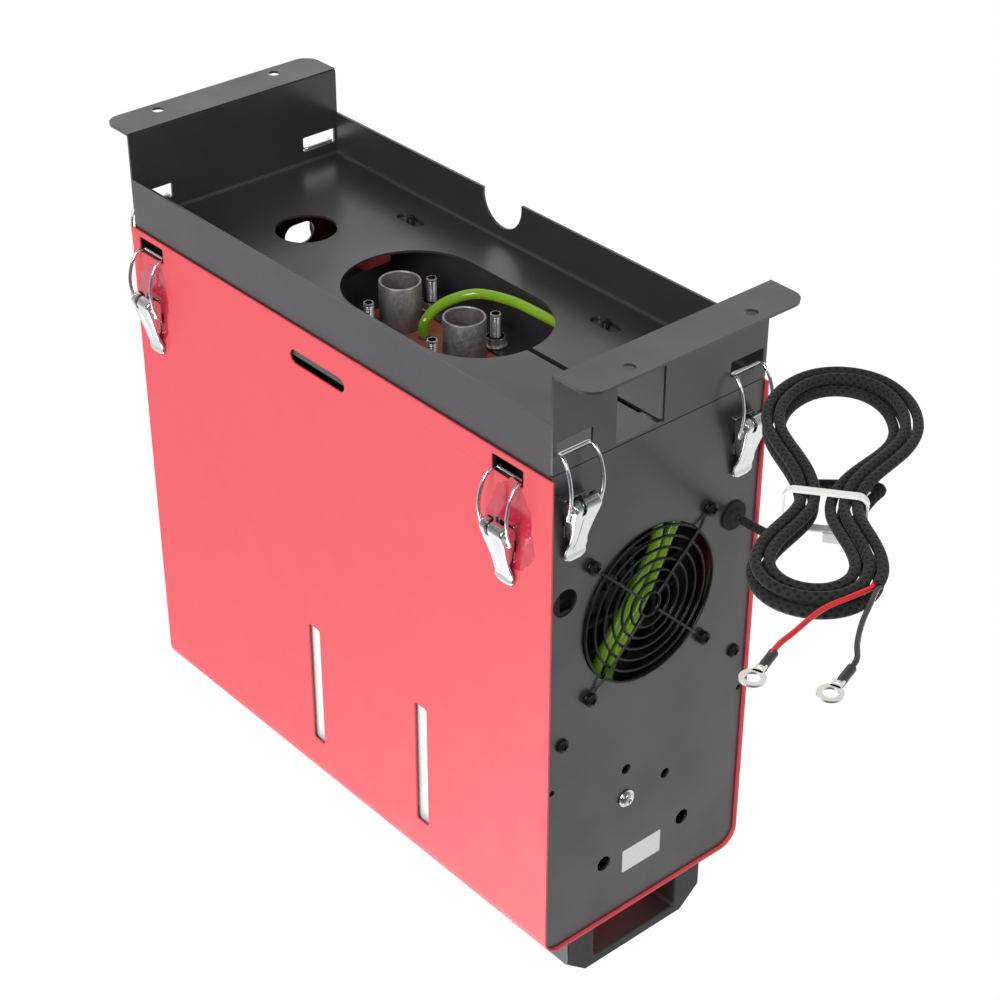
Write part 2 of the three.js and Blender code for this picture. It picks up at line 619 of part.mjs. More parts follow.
// Wire rings welded under four spokes, each spoke ending in an eye for its screw.
function fanGuard() {
  const ringX = -endX - gap - guardWire;
  const spokeX = ringX - 1.2 * guardWire;
  const step = (guardOuterRing - guardInnerRing) / (guardRings - 1);
  const wires = [];
  for (let ring = 0; ring < guardRings; ring += 1) {
    const geometry = new THREE.TorusGeometry(guardInnerRing + ring * step, guardWire, 4, 7 + ring);
    wires.push(solidOf(geometry.rotateY(Math.PI / 2).translate(ringX, heaterY, heaterZ)));
  }
  for (const [y, z] of guardCorners) {
    const eyeRadius = screwRadius + runningGap + guardWire;
    const eye = new THREE.TorusGeometry(eyeRadius, guardWire, 4, 6);
    wires.push(solidOf(eye.rotateY(Math.PI / 2).translate(ringX, y, z)));
    const inward = new THREE.Vector2(heaterY - y, heaterZ - z);
    const reach = inward.length();
    inward.normalize();
    const at = (along, x) => [x, y + inward.x * along, z + inward.y * along];
    const spoke = through([at(eyeRadius, ringX), at(eyeRadius + 4, ringX), at(eyeRadius + 8, spokeX),
      at(reach * 0.7, spokeX), at(reach - guardInnerRing, spokeX)]);
    wires.push(tube(spoke, guardWire, 4, 4));
  }
  return join(...wires);
}

addMesh('fan_guard', geometryOf(fanGuard()), blackPaint);

// ---------------------------------------------------------------- carrying handles

function handleScrewPlaces() {
  const legY = handle.width / 2 - handle.leg / 2;
  return [-1, 1].flatMap((end) => [-1, 1].map((side) => [end * handleX, handle.y + side * legY]));
}

// A moulded bar on two legs, with its outer corners cut off at a slant. Its screws come up through the
// cover, and their heads lie under the sheet.
function carryHandle(end) {
  const [low, high] = [handleBottom, handleBottom + handle.height];
  const [left, right] = [handle.y - handle.width / 2, handle.y + handle.width / 2];
  const { across, up } = handleChamfer;
  const shape = outline([[left, low], [left + handle.leg, low], [left + handle.leg, high - handle.grip],
    [right - handle.leg, high - handle.grip], [right - handle.leg, low], [right, low], [right, high - up],
    [right - across, high], [left + across, high], [left, high - up]]);
  const bar = extrudeX(shape, end * handleX - handle.depth / 2, end * handleX + handle.depth / 2);
  const under = caseTop - coverSheet - gap;
  const screws = handleScrewPlaces().filter(([x]) => x * end > 0).map(([x, y]) => solidOf(
    panScrew(screwRadius, screwHeadRadius, handleScrewDepth).rotateX(Math.PI).translate(x, y, under)));
  return join(bar, ...screws);
}

addMesh('carry_handle_intake', geometryOf(carryHandle(-1)), blackPlastic);
addMesh('carry_handle_outlet', geometryOf(carryHandle(1)), blackPlastic);

// ---------------------------------------------------------------- heater mounting

// The bridge lifts the heater off the tray's floor so that pipes and studs stay above it. Its four
// screws go down through its feet into the floor's slots.
function heaterBridge() {
  const outside = bridgeInside + bridgeSheet;
  const legBottom = floorTop + gap;
  const top = roundedRectangle(bridgeFrom, bridgeTo, -outside, outside, 1);
  top.holes.push(obround(0, 0, pipeSpacing + 46, 33));
  for (const x of [-1, 1]) {
    for (const y of [-1, 1]) {
      top.holes.push(circle((x * studSpacing.x) / 2, (y * studSpacing.y) / 2, studRadius + runningGap));
    }
  }
  const solids = [extrudeZ(top, bridgeTop, bridgeTop + bridgeSheet)];
  for (const side of [-1, 1]) {
    const legY = [side * bridgeInside, side * outside].sort((a, b) => a - b);
    const footY = [side * bridgeInside, side * (outside + bridgeFoot)].sort((a, b) => a - b);
    solids.push(block(bridgeFrom, bridgeTo, ...legY, legBottom, bridgeTop + 1),
      block(bridgeFrom, bridgeTo, ...footY, legBottom, legBottom + bridgeSheet));
    for (const x of bridgeScrew.x) {
      const screw = panScrew(bridgeScrewRadius, screwHeadRadius, screwLength);
      solids.push(solidOf(screw.translate(x, side * bridgeScrew.y, legBottom + bridgeSheet - 0.1)));
    }
  }
  return join(...solids);
}

const studPlaces = [-1, 1].flatMap((x) => [-1, 1].map((y) => [
  (x * studSpacing.x) / 2, (y * studSpacing.y) / 2]));

addMesh('heater_bridge', geometryOf(heaterBridge()), blackPaint);

// The gasket seals the heater's foot, with holes for both pipes, the four studs and the fuel inlet.
function baseGasket() {
  const shape = roundedRectangle(-50, 50, -34, 34, 8);
  const pipeHoles = [-1, 1].map((side) => rod('z', pipeRadius + gap, gasketBottom - 1,
    footBottom, (side * pipeSpacing) / 2, 0, 20));
  studPlaces.forEach(([x, y]) => shape.holes.push(circle(x, y, studRadius + gap)));
  shape.holes.push(circle(fuelInlet.x, fuelInlet.y, hoseRadius + gap));
  return cut(extrudeZ(shape, gasketBottom, gasketBottom + gasketThickness), ...pipeHoles);
}

addMesh('base_gasket', geometryOf(baseGasket()), [0x8a4326, 0.7, 0]);

// A stud in the exchanger's foot with its flange nut, which draws the foot down on the bridge.
function studWithNut(x, y) {
  const top = bridgeTop - gap;
  return join(rod('z', studRadius, studEnd, footBottom + 1, x, y, 6),
    rod('z', nutRadius, top - nutHeight, top - washerThickness / 2, x, y, 6),
    rod('z', washerRadius, top - washerThickness, top, x, y, 8));
}

// ---------------------------------------------------------------- heat exchanger, burner and pipes

const flangeX = -55; // the exchanger's burner end
const exchangerTo = 120;
const pipeSocket = 8;

// A finned aluminium casting whose foot comes down through the lower casing.
function heatExchanger() {
  const barrel = rod('x', exchangerRadius, flangeX, exchangerTo, heaterY, heaterZ, 18);
  const flange = rod('x', exchangerRadius + 5, flangeX - 6, flangeX, heaterY, heaterZ, 18);
  const fins = [];
  for (let fin = 0; fin < exchangerFins; fin += 1) {
    const blade = new THREE.BoxGeometry(exchangerTo - flangeX - 20, 2.4, finHeight + 4);
    blade.translate((exchangerTo + flangeX) / 2 + 8, 0, exchangerRadius + finHeight / 2 - 2);
    blade.rotateX((2 * Math.PI * (fin + 0.5)) / exchangerFins).translate(0, heaterY, heaterZ);
    fins.push(solidOf(blade));
  }
  const shoulderBottom = casingBottom + casingWall + gap;
  const shoulder = block(-54, 54, -32, 32, shoulderBottom, shoulderBottom + 4);
  const leg = block(-47, 47, -29, 29, footBottom, heaterZ - exchangerRadius / 2);
  const nipple = rod('z', tankOutlet.radius, bridgeTop, footBottom + 1, fuelInlet.x, fuelInlet.y, 10);
  const body = join(barrel, flange, ...fins, shoulder, leg, nipple);
  const bore = rod('x', burnerRadius + 4, flangeX - 7, exchangerTo - 12, heaterY, heaterZ, 18);
  const sockets = [-1, 1].map((side) => rod('z', pipeRadius + gap, footBottom - 1,
    footBottom + pipeSocket, (side * pipeSpacing) / 2, 0, 20));
  return join(cut(body, bore, ...sockets), ...studPlaces.map(([x, y]) => studWithNut(x, y)));
}

addMesh('heat_exchanger', geometryOf(heatExchanger()), aluminium);

function heaterPipe(side) {
  const [low, high] = [pipeEnd, footBottom + pipeSocket - gap];
  const x = (side * pipeSpacing) / 2;
  return cut(rod('z', pipeRadius, low, high, x, 0, 20),
    rod('z', pipeRadius - pipeWall, low - 1, high + 1, x, 0, 20));
}

addMesh('air_pipe', geometryOf(heaterPipe(-1)), steel);
addMesh('exhaust_pipe', geometryOf(heaterPipe(1)), steel);

// Turned along the heater's shaft: profiles are [radius, x] points.
function alongShaft(profile, sides) {
  return solidOf(turned(profile, sides).rotateY(Math.PI / 2).translate(0, heaterY, heaterZ));
}

const burnerFace = flangeX - 6 - gap; // the burner's flange seats on the exchanger's
const motorFace = burnerFace - 3 - gap;
const cupDepth = 24;

addMesh('burner_tube', geometryOf(alongShaft([[burnerRadius, burnerFace - 3], [exchangerRadius + 5,
  burnerFace - 3], [exchangerRadius + 5, burnerFace], [burnerRadius, burnerFace], [burnerRadius, 60],
[burnerRadius - 1.5, 60], [burnerRadius - 1.5, burnerFace - 3], [burnerRadius, burnerFace - 3]], 14)), steel);

// The glow plug lies in the exchanger's bore beside the burner tube.
const plugRadius = 1.5;
addMesh('glow_plug', geometryOf(rod('x', plugRadius, burnerFace + gap, burnerFace + 45,
  heaterY, heaterZ + burnerRadius + gap + plugRadius, 8)), steel);

// The motor's can ends in a cup that houses the combustion-air wheel.
function fanMotor() {
  const cupFrom = motorFace - cupDepth;
  const canFrom = cupFrom - 36;
  const bore = shaftRadius + runningGap;
  return alongShaft([[bore, canFrom], [motorRadius, canFrom], [motorRadius, cupFrom],
    [exchangerRadius + 4, cupFrom], [exchangerRadius + 4, motorFace], [bore, motorFace],
    [bore, motorFace - 2], [exchangerRadius + 1, motorFace - 2], [exchangerRadius + 1, cupFrom + 3],
    [bore, cupFrom + 3], [bore, canFrom]], 14);
}

addMesh('fan_motor', geometryOf(fanMotor()), blackPlastic);

// The shaft carries the combustion-air wheel inside the motor's cup.
function motorShaft() {
  const discX = motorFace - 6;
  const shaft = rod('x', shaftRadius, casingFrom + 2, motorFace - 1, heaterY, heaterZ, 12);
  const disc = rod('x', exchangerRadius - 3, discX, discX + 2, heaterY, heaterZ, 16);
  const vanes = [];
  for (let vane = 0; vane < 6; vane += 1) {
    const blade = new THREE.BoxGeometry(10, 1.6, exchangerRadius - 14);
    blade.translate(discX - 4, 0, exchangerRadius / 2 + 5);
    blade.rotateX((2 * Math.PI * vane) / 6).translate(0, heaterY, heaterZ);
    vanes.push(solidOf(blade));
  }
  return join(shaft, disc, ...vanes);
}

addMesh('motor_shaft', geometryOf(motorShaft()), steel);

// The hot-air wheel: a hub with slanted blades, pushed on the front of the shaft.
function blowerWheel() {
  const hubFrom = casingFrom + 4;
  const hub = rod('x', 17, hubFrom, hubFrom + 16, heaterY, heaterZ, 14);
  const bladeLength = wheelRadius - 15;
  const blades = [];
  for (let index = 0; index < wheelBlades; index += 1) {
    const blade = new THREE.BoxGeometry(2, 24, bladeLength);
    blade.rotateZ(Math.PI * 0.28).translate(hubFrom + 8, 0, 15 + bladeLength / 2);
    blade.rotateX((2 * Math.PI * index) / wheelBlades).translate(0, heaterY, heaterZ);
    blades.push(solidOf(blade));
  }
  const ends = rod('x', wheelRadius, hubFrom, hubFrom + 16, heaterY, heaterZ, 14);
  const wheel = join(hub, ...blades).intersect(ends);
  return cut(wheel, rod('x', shaftRadius + gap, hubFrom - 1, hubFrom + 17, heaterY, heaterZ, 12));
}

addMesh('blower_wheel', geometryOf(blowerWheel()), blackPlastic);

// ---------------------------------------------------------------- heater casing

function casingRing(grow) {
  return roundedRectangle(heaterY - casingHalfWidth - grow, heaterY + casingHalfWidth + grow,
    casingBottom - grow, heaterZ + casingHalfHeight + grow, casingCorner + grow);
}

// One half of the casing: a shell open at both ends and split at the height of the shaft.
function casingHalf(side) {
  const shell = cut(extrudeX(casingRing(0), casingFrom, casingTo, 4),
    extrudeX(casingRing(-casingWall), casingFrom - 1, casingTo + 1, 4));
  const far = heaterZ + side * 2 * casingHalfHeight;
  const split = heaterZ + (side * gap) / 2;
  const half = block(casingFrom - 2, casingTo + 2, -100, 100, Math.min(far, split), Math.max(far, split));
  return shell.intersect(half);
}

const footHole = block(-47 - gap, 47 + gap, -29 - gap, 29 + gap, casingBottom - 5, casingBottom + 5);
addMesh('lower_casing', geometryOf(cut(casingHalf(-1), footHole)), blackPlastic);
addMesh('upper_casing', geometryOf(casingHalf(1)), blackPlastic);

// The grille closes the casing's intake end with a square lattice.
function intakeGrille() {
  const pitch = 17.5;
  const bar = 2.6;
  const rim = casingRing(0);
  const plate = extrudeX(rim, casingFrom - gap - 3, casingFrom - gap, 4);
  const room = pitch - bar;
  const holes = [];
  const across = Math.floor(((casingHalfWidth - 10) * 2) / pitch);
  const up = Math.floor(((casingHalfHeight - 10) * 2) / pitch);
  for (let column = 0; column < across; column += 1) {
    for (let row = 0; row < up; row += 1) {
      const y = heaterY + (column - (across - 1) / 2) * pitch;
      const z = heaterZ + (row - (up - 1) / 2) * pitch;
      holes.push(block(casingFrom - 10, casingFrom + 2, y - room / 2, y + room / 2, z - room / 2, z + room / 2));
    }
  }
  return cut(plate, ...holes);
}

addMesh('intake_grille', geometryOf(intakeGrille()), blackPlastic);

// The collar leads the hot air out through the outlet end plate.
function outletCollar() {
  const from = casingTo + gap;
  return alongShaft([[outletRadius - 2, from], [casingHalfWidth - 4, from], [casingHalfWidth - 4, from + 2],
    [outletRadius, from + 2], [outletRadius, endX + outletReach], [outletRadius - 2, endX + outletReach],
    [outletRadius - 2, from]], 20);
}

addMesh('outlet_collar', geometryOf(outletCollar()), blackPlastic);

// The control board hangs on four posts under the upper casing.
function controlBoard() {
  const ceiling = heaterZ + casingHalfHeight - casingWall - gap;
  const boardZ = ceiling - 10;
  const board = block(-122, -52, heaterY - 32, heaterY + 32, boardZ, boardZ + 1.6);
  const posts = [[-117, -27], [-117, 27], [-57, -27], [-57, 27]].map(([x, y]) => (
    rod('z', 2.5, boardZ + 1, ceiling, x, heaterY + y, 8)));
  const chips = [[-105, -14, 12, 8], [-80, 8, 16, 4], [-62, -18, 8, 3]].map(([x, y, width, height]) => (
    block(x - width / 2, x + width / 2, heaterY + y - 6, heaterY + y + 6, boardZ - height, boardZ + 0.5)));
  return join(board, ...posts, ...chips);
}

addMesh('control_board', geometryOf(controlBoard()), [0x1e5a34, 0.5, 0]);

// ---------------------------------------------------------------- fuel tank, pump, filter and hoses

// A blow-moulded tank with a filler neck through the cover and an outlet nipple low at the intake end.
function fuelTank() {
  const shell = (inset) => extrudeX(roundedRectangle(-tankHalfWidth + inset, tankHalfWidth - inset,
    tankBottom + inset, tankTopHeight - inset, tankCorner - inset), tankFrom + inset, tankTo - inset, 3);
  const outside = join(shell(0), rod('z', neck.radius, tankTopHeight - 1, neckTop, neck.x, neck.y, 18));
  const hollow = join(shell(tankWall),
    rod('z', neck.radius - neck.wall, tankTopHeight - 2 * tankWall, neckTop + 1, neck.x, neck.y, 18));
  const nipple = rod('x', tankOutlet.radius, tankFrom - tankOutlet.length, tankFrom + 1,
    tankOutlet.y, tankOutlet.z, 10);
  return join(cut(outside, hollow), nipple);
}

// A screw cap with a grip of flutes around its rim.
function fillerCap() {
  const roof = neckTop + gap;
  const skirt = neck.radius + runningGap;
  const cap = solidOf(turned([[0, roof], [skirt, roof], [skirt, capBottom], [capRadius, capBottom],
    [capRadius, capTop - 3], [capRadius - 3, capTop], [0, capTop]], 18));
  const flutes = [];
  for (let flute = 0; flute < 8; flute += 1) {
    const angle = (2 * Math.PI * flute) / 8;
    flutes.push(rod('z', 2, capBottom - 1, capTop + 1, (capRadius + 1) * Math.cos(angle),
      (capRadius + 1) * Math.sin(angle), 6));
  }
  return cut(cap, ...flutes).translate([neck.x, neck.y, 0]);
}

addMesh('fuel_tank', geometryOf(fuelTank()), whitePlastic);
addMesh('filler_cap', geometryOf(fillerCap()), blackPlastic);

// The dosing pump stands in a clip that one screw holds on the intake end plate.
function fuelPump() {
  const stub = hoseRadius;
  return solidOf(turned([[0, pump.from - pump.stub], [stub, pump.from - pump.stub], [stub, pump.from],
    [pump.radius - 2, pump.from], [pump.radius, pump.from + 3], [pump.radius, pump.to - 12],
    [pump.radius - 3, pump.to - 9], [pump.radius - 3, pump.to], [stub, pump.to], [stub, pump.to + pump.stub],
    [0, pump.to + pump.stub]], 12).translate(pump.x, pumpScrew.y, 0));
}

function pumpClip() {
  const inside = pump.radius + gap;
  const [low, high] = [pumpScrew.z - 8, pumpScrew.z + 8];
  const ring = rod('z', inside + 2.5, low, high, pump.x, pumpScrew.y, 20);
  const pad = block(-plateInner + gap, pump.x - pump.radius, pumpScrew.y - 6, pumpScrew.y + 6, low, high);
  return cut(join(ring, pad), rod('z', inside, low - 1, high + 1, pump.x, pumpScrew.y, 20),
    rod('x', screwHole, -endX, -endX + screwLength + 1, pumpScrew.y, pumpScrew.z, 10));
}

addMesh('fuel_pump', geometryOf(fuelPump()), steel);
addMesh('pump_clip', geometryOf(pumpClip()), rubber);

const filterZ = floorTop + gap + filter.radius;
addMesh('fuel_filter', geometryOf(solidOf(turned([[0, filter.from - filter.stub],
  [hoseRadius, filter.from - filter.stub], [hoseRadius, filter.from], [filter.radius, filter.from],
  [filter.radius, filter.to], [hoseRadius, filter.to], [hoseRadius, filter.to + filter.stub],
  [0, filter.to + filter.stub]], 12).rotateX(-Math.PI / 2).translate(filter.x, 0, filterZ))), whitePlastic);

// Fuel hoses: tank to filter, filter to pump, and pump to the heater's inlet between the pipes.
const filterIn = filter.from - filter.stub - gap;
const filterOut = filter.to + filter.stub + gap;
const tankToFilter = through([[tankFrom - tankOutlet.length - gap, tankOutlet.y, tankOutlet.z],
  [-157, -40, 249.5], [-164, -39, 240], [-168, -36, 220], [-168, -29, 196], [-168, -6, 162], [-168, 11, 130],
  [-168, 5, 108], [-168, -14, 92], [-167, -32, 80], [-165, -35, 69], [-165, -28, filterZ],
  [-165, filterIn, filterZ]]);
const filterToPump = through([[-165, filterOut, filterZ], [-165, 31, filterZ], [-166, 39, 69], [-168, 42, 84],
  [-168, 35, 108], [-168, 20, 134], [-168, 3, 166], [-168, -20, 201], [-165, -19, 222],
  [pump.x, pumpScrew.y, 233], [pump.x, pumpScrew.y, pump.from - pump.stub - gap]]);
const pumpToHeater = through([[pump.x, pumpScrew.y, pump.to + pump.stub + gap],
  [pump.x, pumpScrew.y, pump.to + pump.stub + 5], [-160, -4, 352], [-161, 18, 350], [-163, 35, 330],
  [-165, 40, 290], [-165, 42, 240], [-166, 52, 205], [-167, 58, 165], [-166, 57, 118], [-162, 52, 84],
  [-148, 44, 64], [-122, 37.3, 60], [-85, 36.5, 60], [-51, 36.2, 60], [-25, 33.8, 60], [-4, 26, 62],
  [6, 10, 68], [fuelInlet.x, fuelInlet.y, 76], [fuelInlet.x, fuelInlet.y, bridgeTop - gap]]);

addMesh('suction_hose', geometryOf(tube(tankToFilter, hoseRadius, 6, 18)), greenHose);
addMesh('filter_hose', geometryOf(tube(filterToPump, hoseRadius, 6, 18)), greenHose);
addMesh('pressure_hose', geometryOf(tube(pumpToHeater, hoseRadius, 6, 38)), greenHose);

// ---------------------------------------------------------------- harness

// A rubber grommet fills the cord hole. The cord leaves from its nose.
const noseX = -endX - gap - 4;

function harnessGrommet() {
  const seat = -endX - gap;
  const profile = [[0, noseX], [cordRadius + 1.2, noseX], [cordRadius + 2.2, seat - 1.5],
    [cordHole.radius + 1.5, seat - 1.5], [cordHole.radius + 1.5, seat], [cordHole.radius - gap, seat],
    [cordHole.radius - gap, -plateInner + gap], [cordHole.radius + 1.5, -plateInner + gap],
    [cordHole.radius + 1.5, -plateInner + gap + 1.5], [0, -plateInner + gap + 1.5]];
  return solidOf(turned(profile, 12).rotateY(Math.PI / 2).translate(0, cordHole.y, cordHole.z));
}

addMesh('harness_grommet', geometryOf(harnessGrommet()), rubber);

// The hank's own frame: u points to its far end, v to its left, and the tie is at u = 0.
const ahead = new THREE.Vector2(Math.cos(hankTurn), Math.sin(hankTurn));
const aside = new THREE.Vector2(-ahead.y, ahead.x).multiplyScalar(-1);
const onGround = (u, v, z) => [hankX + ahead.x * u + aside.x * v, hankY + ahead.y * u + aside.y * v, z];
const waist = 2.4 * hankPitch; // half the width between the outermost turns at the tie
const groundLevel = cordRadius + 0.05;

// The outermost turn: an oval of two lobes drawn in at the tie.
function outerTurn(angle) {
  const reach = (Math.cos(angle) + hankRound * Math.cos(3 * angle)) / (1 + hankRound);
  const u = hankShift + hankHalfLength * reach;
  const open = 1 - Math.exp(-((u / hankLobeLength) ** 2));
  return new THREE.Vector2(u, (waist + hankLobe * open) * Math.sin(angle));
}

// Turns wind inwards in the upper layer, climb down along the run through the waist, and wind out again
// in the lower one. Each lies one pitch inside the last, square to the outermost turn. At its start the
// cord comes down off the bundle, and the bundle is lifted by the tie under it.
class HankCurve extends THREE.Curve {
  constructor() {
    super();
    this.travel = [0];
    let last = this.getPoint(0);
    for (let i = 1; i <= hankSamples; i += 1) {
      const here = this.getPoint(i / hankSamples);
      const along = (here.x - hankX) * ahead.x + (here.y - hankY) * ahead.y;
      this.travel.push(this.travel[i - 1] + here.distanceTo(last) * (1 + 1.2 * Math.exp(-((along / 24) ** 2))));
      last = here;
    }
  }

  // Steps are shorter at the waist, so that the turns keep their places under the tie.
  getUtoTmapping(share) {
    const target = share * this.travel[hankSamples];
    let [low, high] = [0, hankSamples];
    while (high - low > 1) {
      const middle = Math.floor((low + high) / 2);
      if (this.travel[middle] > target) high = middle;
      else low = middle;
    }
    return (low + (target - this.travel[low]) / (this.travel[high] - this.travel[low])) / hankSamples;
  }

  getPoint(t) {
    const turns = t * (hankLoops + hankTail);
    const angle = Math.PI / 2 - 2 * Math.PI * turns;
    const middle = hankLoops / 2;
    const inset = (middle - Math.abs(turns - middle)) * hankPitch;
    const here = outerTurn(angle);
    const along = outerTurn(angle - 0.01).sub(outerTurn(angle + 0.01)).normalize();
    const smooth = (from, to) => THREE.MathUtils.smoothstep(turns, from, to);
    const layer = 1 - smooth(middle - 0.12, middle + 0.12) + (1 - smooth(0.02, 0.14));
    const lift = (tieThickness + 0.6) * Math.exp(-((here.x / 16) ** 2));
    return new THREE.Vector3(...onGround(here.x + along.y * inset, here.y - along.x * inset,
      groundLevel + lift + layer * hankPitch));
  }
}

// The least distance between the surfaces of turns that pass each other, measured on points.
function leastGap(curve, radius) {
  const points = curve.getSpacedPoints(2400);
  const step = curve.getLength() / 2400;
  const skip = Math.ceil((6 * radius) / step);
  let least = Infinity;
  for (let i = 0; i < points.length; i += 1) {
    for (let j = i + skip; j < points.length; j += 1) {
      least = Math.min(least, points[i].distanceToSquared(points[j]));
    }
  }
  return Math.sqrt(least) - 2 * radius;
}

const hankCurve = new HankCurve();
console.log(`hank: least gap to itself ${leastGap(hankCurve, cordRadius).toFixed(2)} mm, `
  + `length ${hankCurve.getLength().toFixed(0)} mm`);
addMesh('harness_hank', geometryOf(tube(hankCurve, cordRadius, 6, 24 * hankLoops + 4)), blackPlastic);

// The free run: straight out of the grommet, down in an arc, over the near lobe and under the tie.
const hankStart = hankCurve.getPoint(0);
const hankEntry = hankCurve.getTangent(0);
const beforeHank = (distance) => hankStart.clone().addScaledVector(hankEntry, -distance).toArray();
const runRoute = through([[noseX - gap, cordHole.y, cordHole.z], [-192, 55.8, 132.5], [-205, 55, 131],
  [-221, 50, 124], [-238, 38, 107], [-254, 20, 81], [-269, 2, 55], [-284, -14, 34], [-298, -26, 21.5],
  beforeHank(14), beforeHank(6), beforeHank(gap)]);
addMesh('harness_run', geometryOf(tube(runRoute, cordRadius, 6, 20)), blackPlastic);
console.log(`run length ${runRoute.getLength().toFixed(0)} mm`);

// The cable tie is a band round the waist with its square lock on top.
function cableTie() {
  const half = waist + cordRadius + 1.2;
  const low = 0.1 + tieThickness;
  const high = groundLevel + tieThickness + 0.6 + 2 * hankPitch + cordRadius + 0.5;
  const band = roundedRectangle(-half - tieThickness, half + tieThickness, low - tieThickness,
    high + tieThickness, 5);
  band.holes.push(roundedRectangle(-half, half, low, high, 4, THREE.Path));
  const lock = block(-3.5, 3.5, -8, 0, high + tieThickness / 2, high + tieThickness + 4.2);
  const ring = join(extrudeX(band, -tieWidth / 2, tieWidth / 2, 3), lock);
  const sideways = new THREE.Matrix4().makeBasis(new THREE.Vector3(ahead.x, ahead.y, 0),
    new THREE.Vector3(-ahead.y, ahead.x, 0), new THREE.Vector3(0, 0, 1));
  return geometryOf(ring).applyMatrix4(sideways).translate(hankX, hankY, 0);
}

addMesh('cable_tie', cableTie(), whitePlastic);

// At its far end the sleeve gives out a red and a black lead, each crimped in a ring terminal.
const sleeveEnd = hankCurve.getPoint(1);
const leaving = hankCurve.getTangent(1).setZ(0).normalize();
const across = new THREE.Vector3(-leaving.y, leaving.x, 0);

function leadPoint(along, sideways, height = leadRadius + 0.1) {
  const place = sleeveEnd.clone().addScaledVector(leaving, along).addScaledVector(across, sideways);
  return [place.x, place.y, height];
}

// A ring terminal crimped on a lead lies flat: a round barrel over the lead's end, a tongue and a ring.
function ringTerminal(direction, place) {
  const barrel = rod('x', 2.1, -2, 10, 0, 2.2, 8);
  const tongue = block(8, 13, -2.2, 2.2, 0.6, 1.6);
  const eye = cut(rod('z', 5.4, 0.6, 1.6, 17, 0, 12), rod('z', 3.2, 0, 2, 17, 0, 8));
  const turn = THREE.MathUtils.radToDeg(Math.atan2(direction.y, direction.x));
  return join(barrel, tongue, eye).rotate([0, 0, turn]).translate([place.x, place.y, 0]);
}

const leads = [
  { name: 'red_lead', paint: [0xd01c1c, 0.4, 0], side: 1, bend: 12, end: 66 },
  { name: 'black_lead', paint: blackPlastic, side: -1, bend: -5, end: 60 },
];
for (const { name, paint, side, bend, end } of leads) {
  const start = side * (leadRadius + 0.05);
  const turnOut = side * 9;
  const route = through([leadPoint(gap, start, sleeveEnd.z), leadPoint(4, start, sleeveEnd.z - 0.5),
    leadPoint(14, start + bend / 3), leadPoint(28, bend), leadPoint(end - 18, bend + turnOut * 0.4),
    leadPoint(end - 8, turnOut + bend * 0.7), leadPoint(end, turnOut + bend * 0.7)]);
  const lug = ringTerminal(route.getTangent(1), route.getPoint(1));
  addMesh(name, geometryOf(join(tube(route, leadRadius, 6, 12), lug)), paint);
}

export default heater;
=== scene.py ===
import math

import bmesh
import bpy
import numpy as np
from mathutils import Matrix, Vector
from mathutils.geometry import tessellate_polygon


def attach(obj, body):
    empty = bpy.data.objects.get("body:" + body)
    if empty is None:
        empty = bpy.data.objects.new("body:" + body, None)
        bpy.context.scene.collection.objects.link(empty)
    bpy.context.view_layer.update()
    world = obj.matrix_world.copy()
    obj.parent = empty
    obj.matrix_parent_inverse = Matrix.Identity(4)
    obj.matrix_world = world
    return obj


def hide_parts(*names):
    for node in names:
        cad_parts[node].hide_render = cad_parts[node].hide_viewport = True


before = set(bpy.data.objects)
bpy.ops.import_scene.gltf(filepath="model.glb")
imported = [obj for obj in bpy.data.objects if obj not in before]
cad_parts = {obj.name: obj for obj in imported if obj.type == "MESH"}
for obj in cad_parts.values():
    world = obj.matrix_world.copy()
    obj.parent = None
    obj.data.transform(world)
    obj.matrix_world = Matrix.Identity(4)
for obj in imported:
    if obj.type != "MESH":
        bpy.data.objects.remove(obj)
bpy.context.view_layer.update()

# ---------------------------------------------------------------- camera
# The heater is photographed standing on its head, with the camera close above its feet. Here it stands
# on its feet, so the camera looks up at it from below the floor and is turned over.
camera_data = bpy.data.cameras.new("camera")
camera_data.lens = 83.06
camera_data.sensor_width = 36.0
camera_data.clip_start = 0.05
camera_data.clip_end = 50.0
camera = bpy.data.objects.new("camera", camera_data)
bpy.context.scene.collection.objects.link(camera)
bpy.context.scene.camera = camera

camera_right = Vector((-0.6547, 0.7559, -0.0016)).normalized()
camera_back = Vector((-0.6327, -0.5491, -0.5460)).normalized()
camera_up = camera_back.cross(camera_right).normalized()
camera_right = camera_up.cross(camera_back)
camera_turn = Matrix((camera_right, camera_up, camera_back)).transposed().to_4x4()
camera.matrix_world = Matrix.Translation((-0.8615, -0.6983, -0.5346)) @ camera_turn

# ---------------------------------------------------------------- floor and light
# A pale floor that can be looked through from below, in a white room. It takes the heater's shadow and
# casts none, because the photographed side is the underside and large soft lamps light that from below.
bpy.context.scene.view_settings.view_transform = "Standard"

floor_reach = 6.0
floor_drop = 0.0006
floor_glow = 0.45
floor_mesh = bpy.data.meshes.new("floor")
floor_corners = np.array([[-1, -1, 0], [1, -1, 0], [1, 1, 0], [-1, 1, 0]]) * floor_reach
floor_mesh.from_pydata((floor_corners - [0, 0, floor_drop]).tolist(), [], [(0, 1, 2, 3)])
floor = bpy.data.objects.new("floor", floor_mesh)
bpy.context.scene.collection.objects.link(floor)
floor.visible_shadow = False
floor.visible_diffuse = False
floor.visible_glossy = False


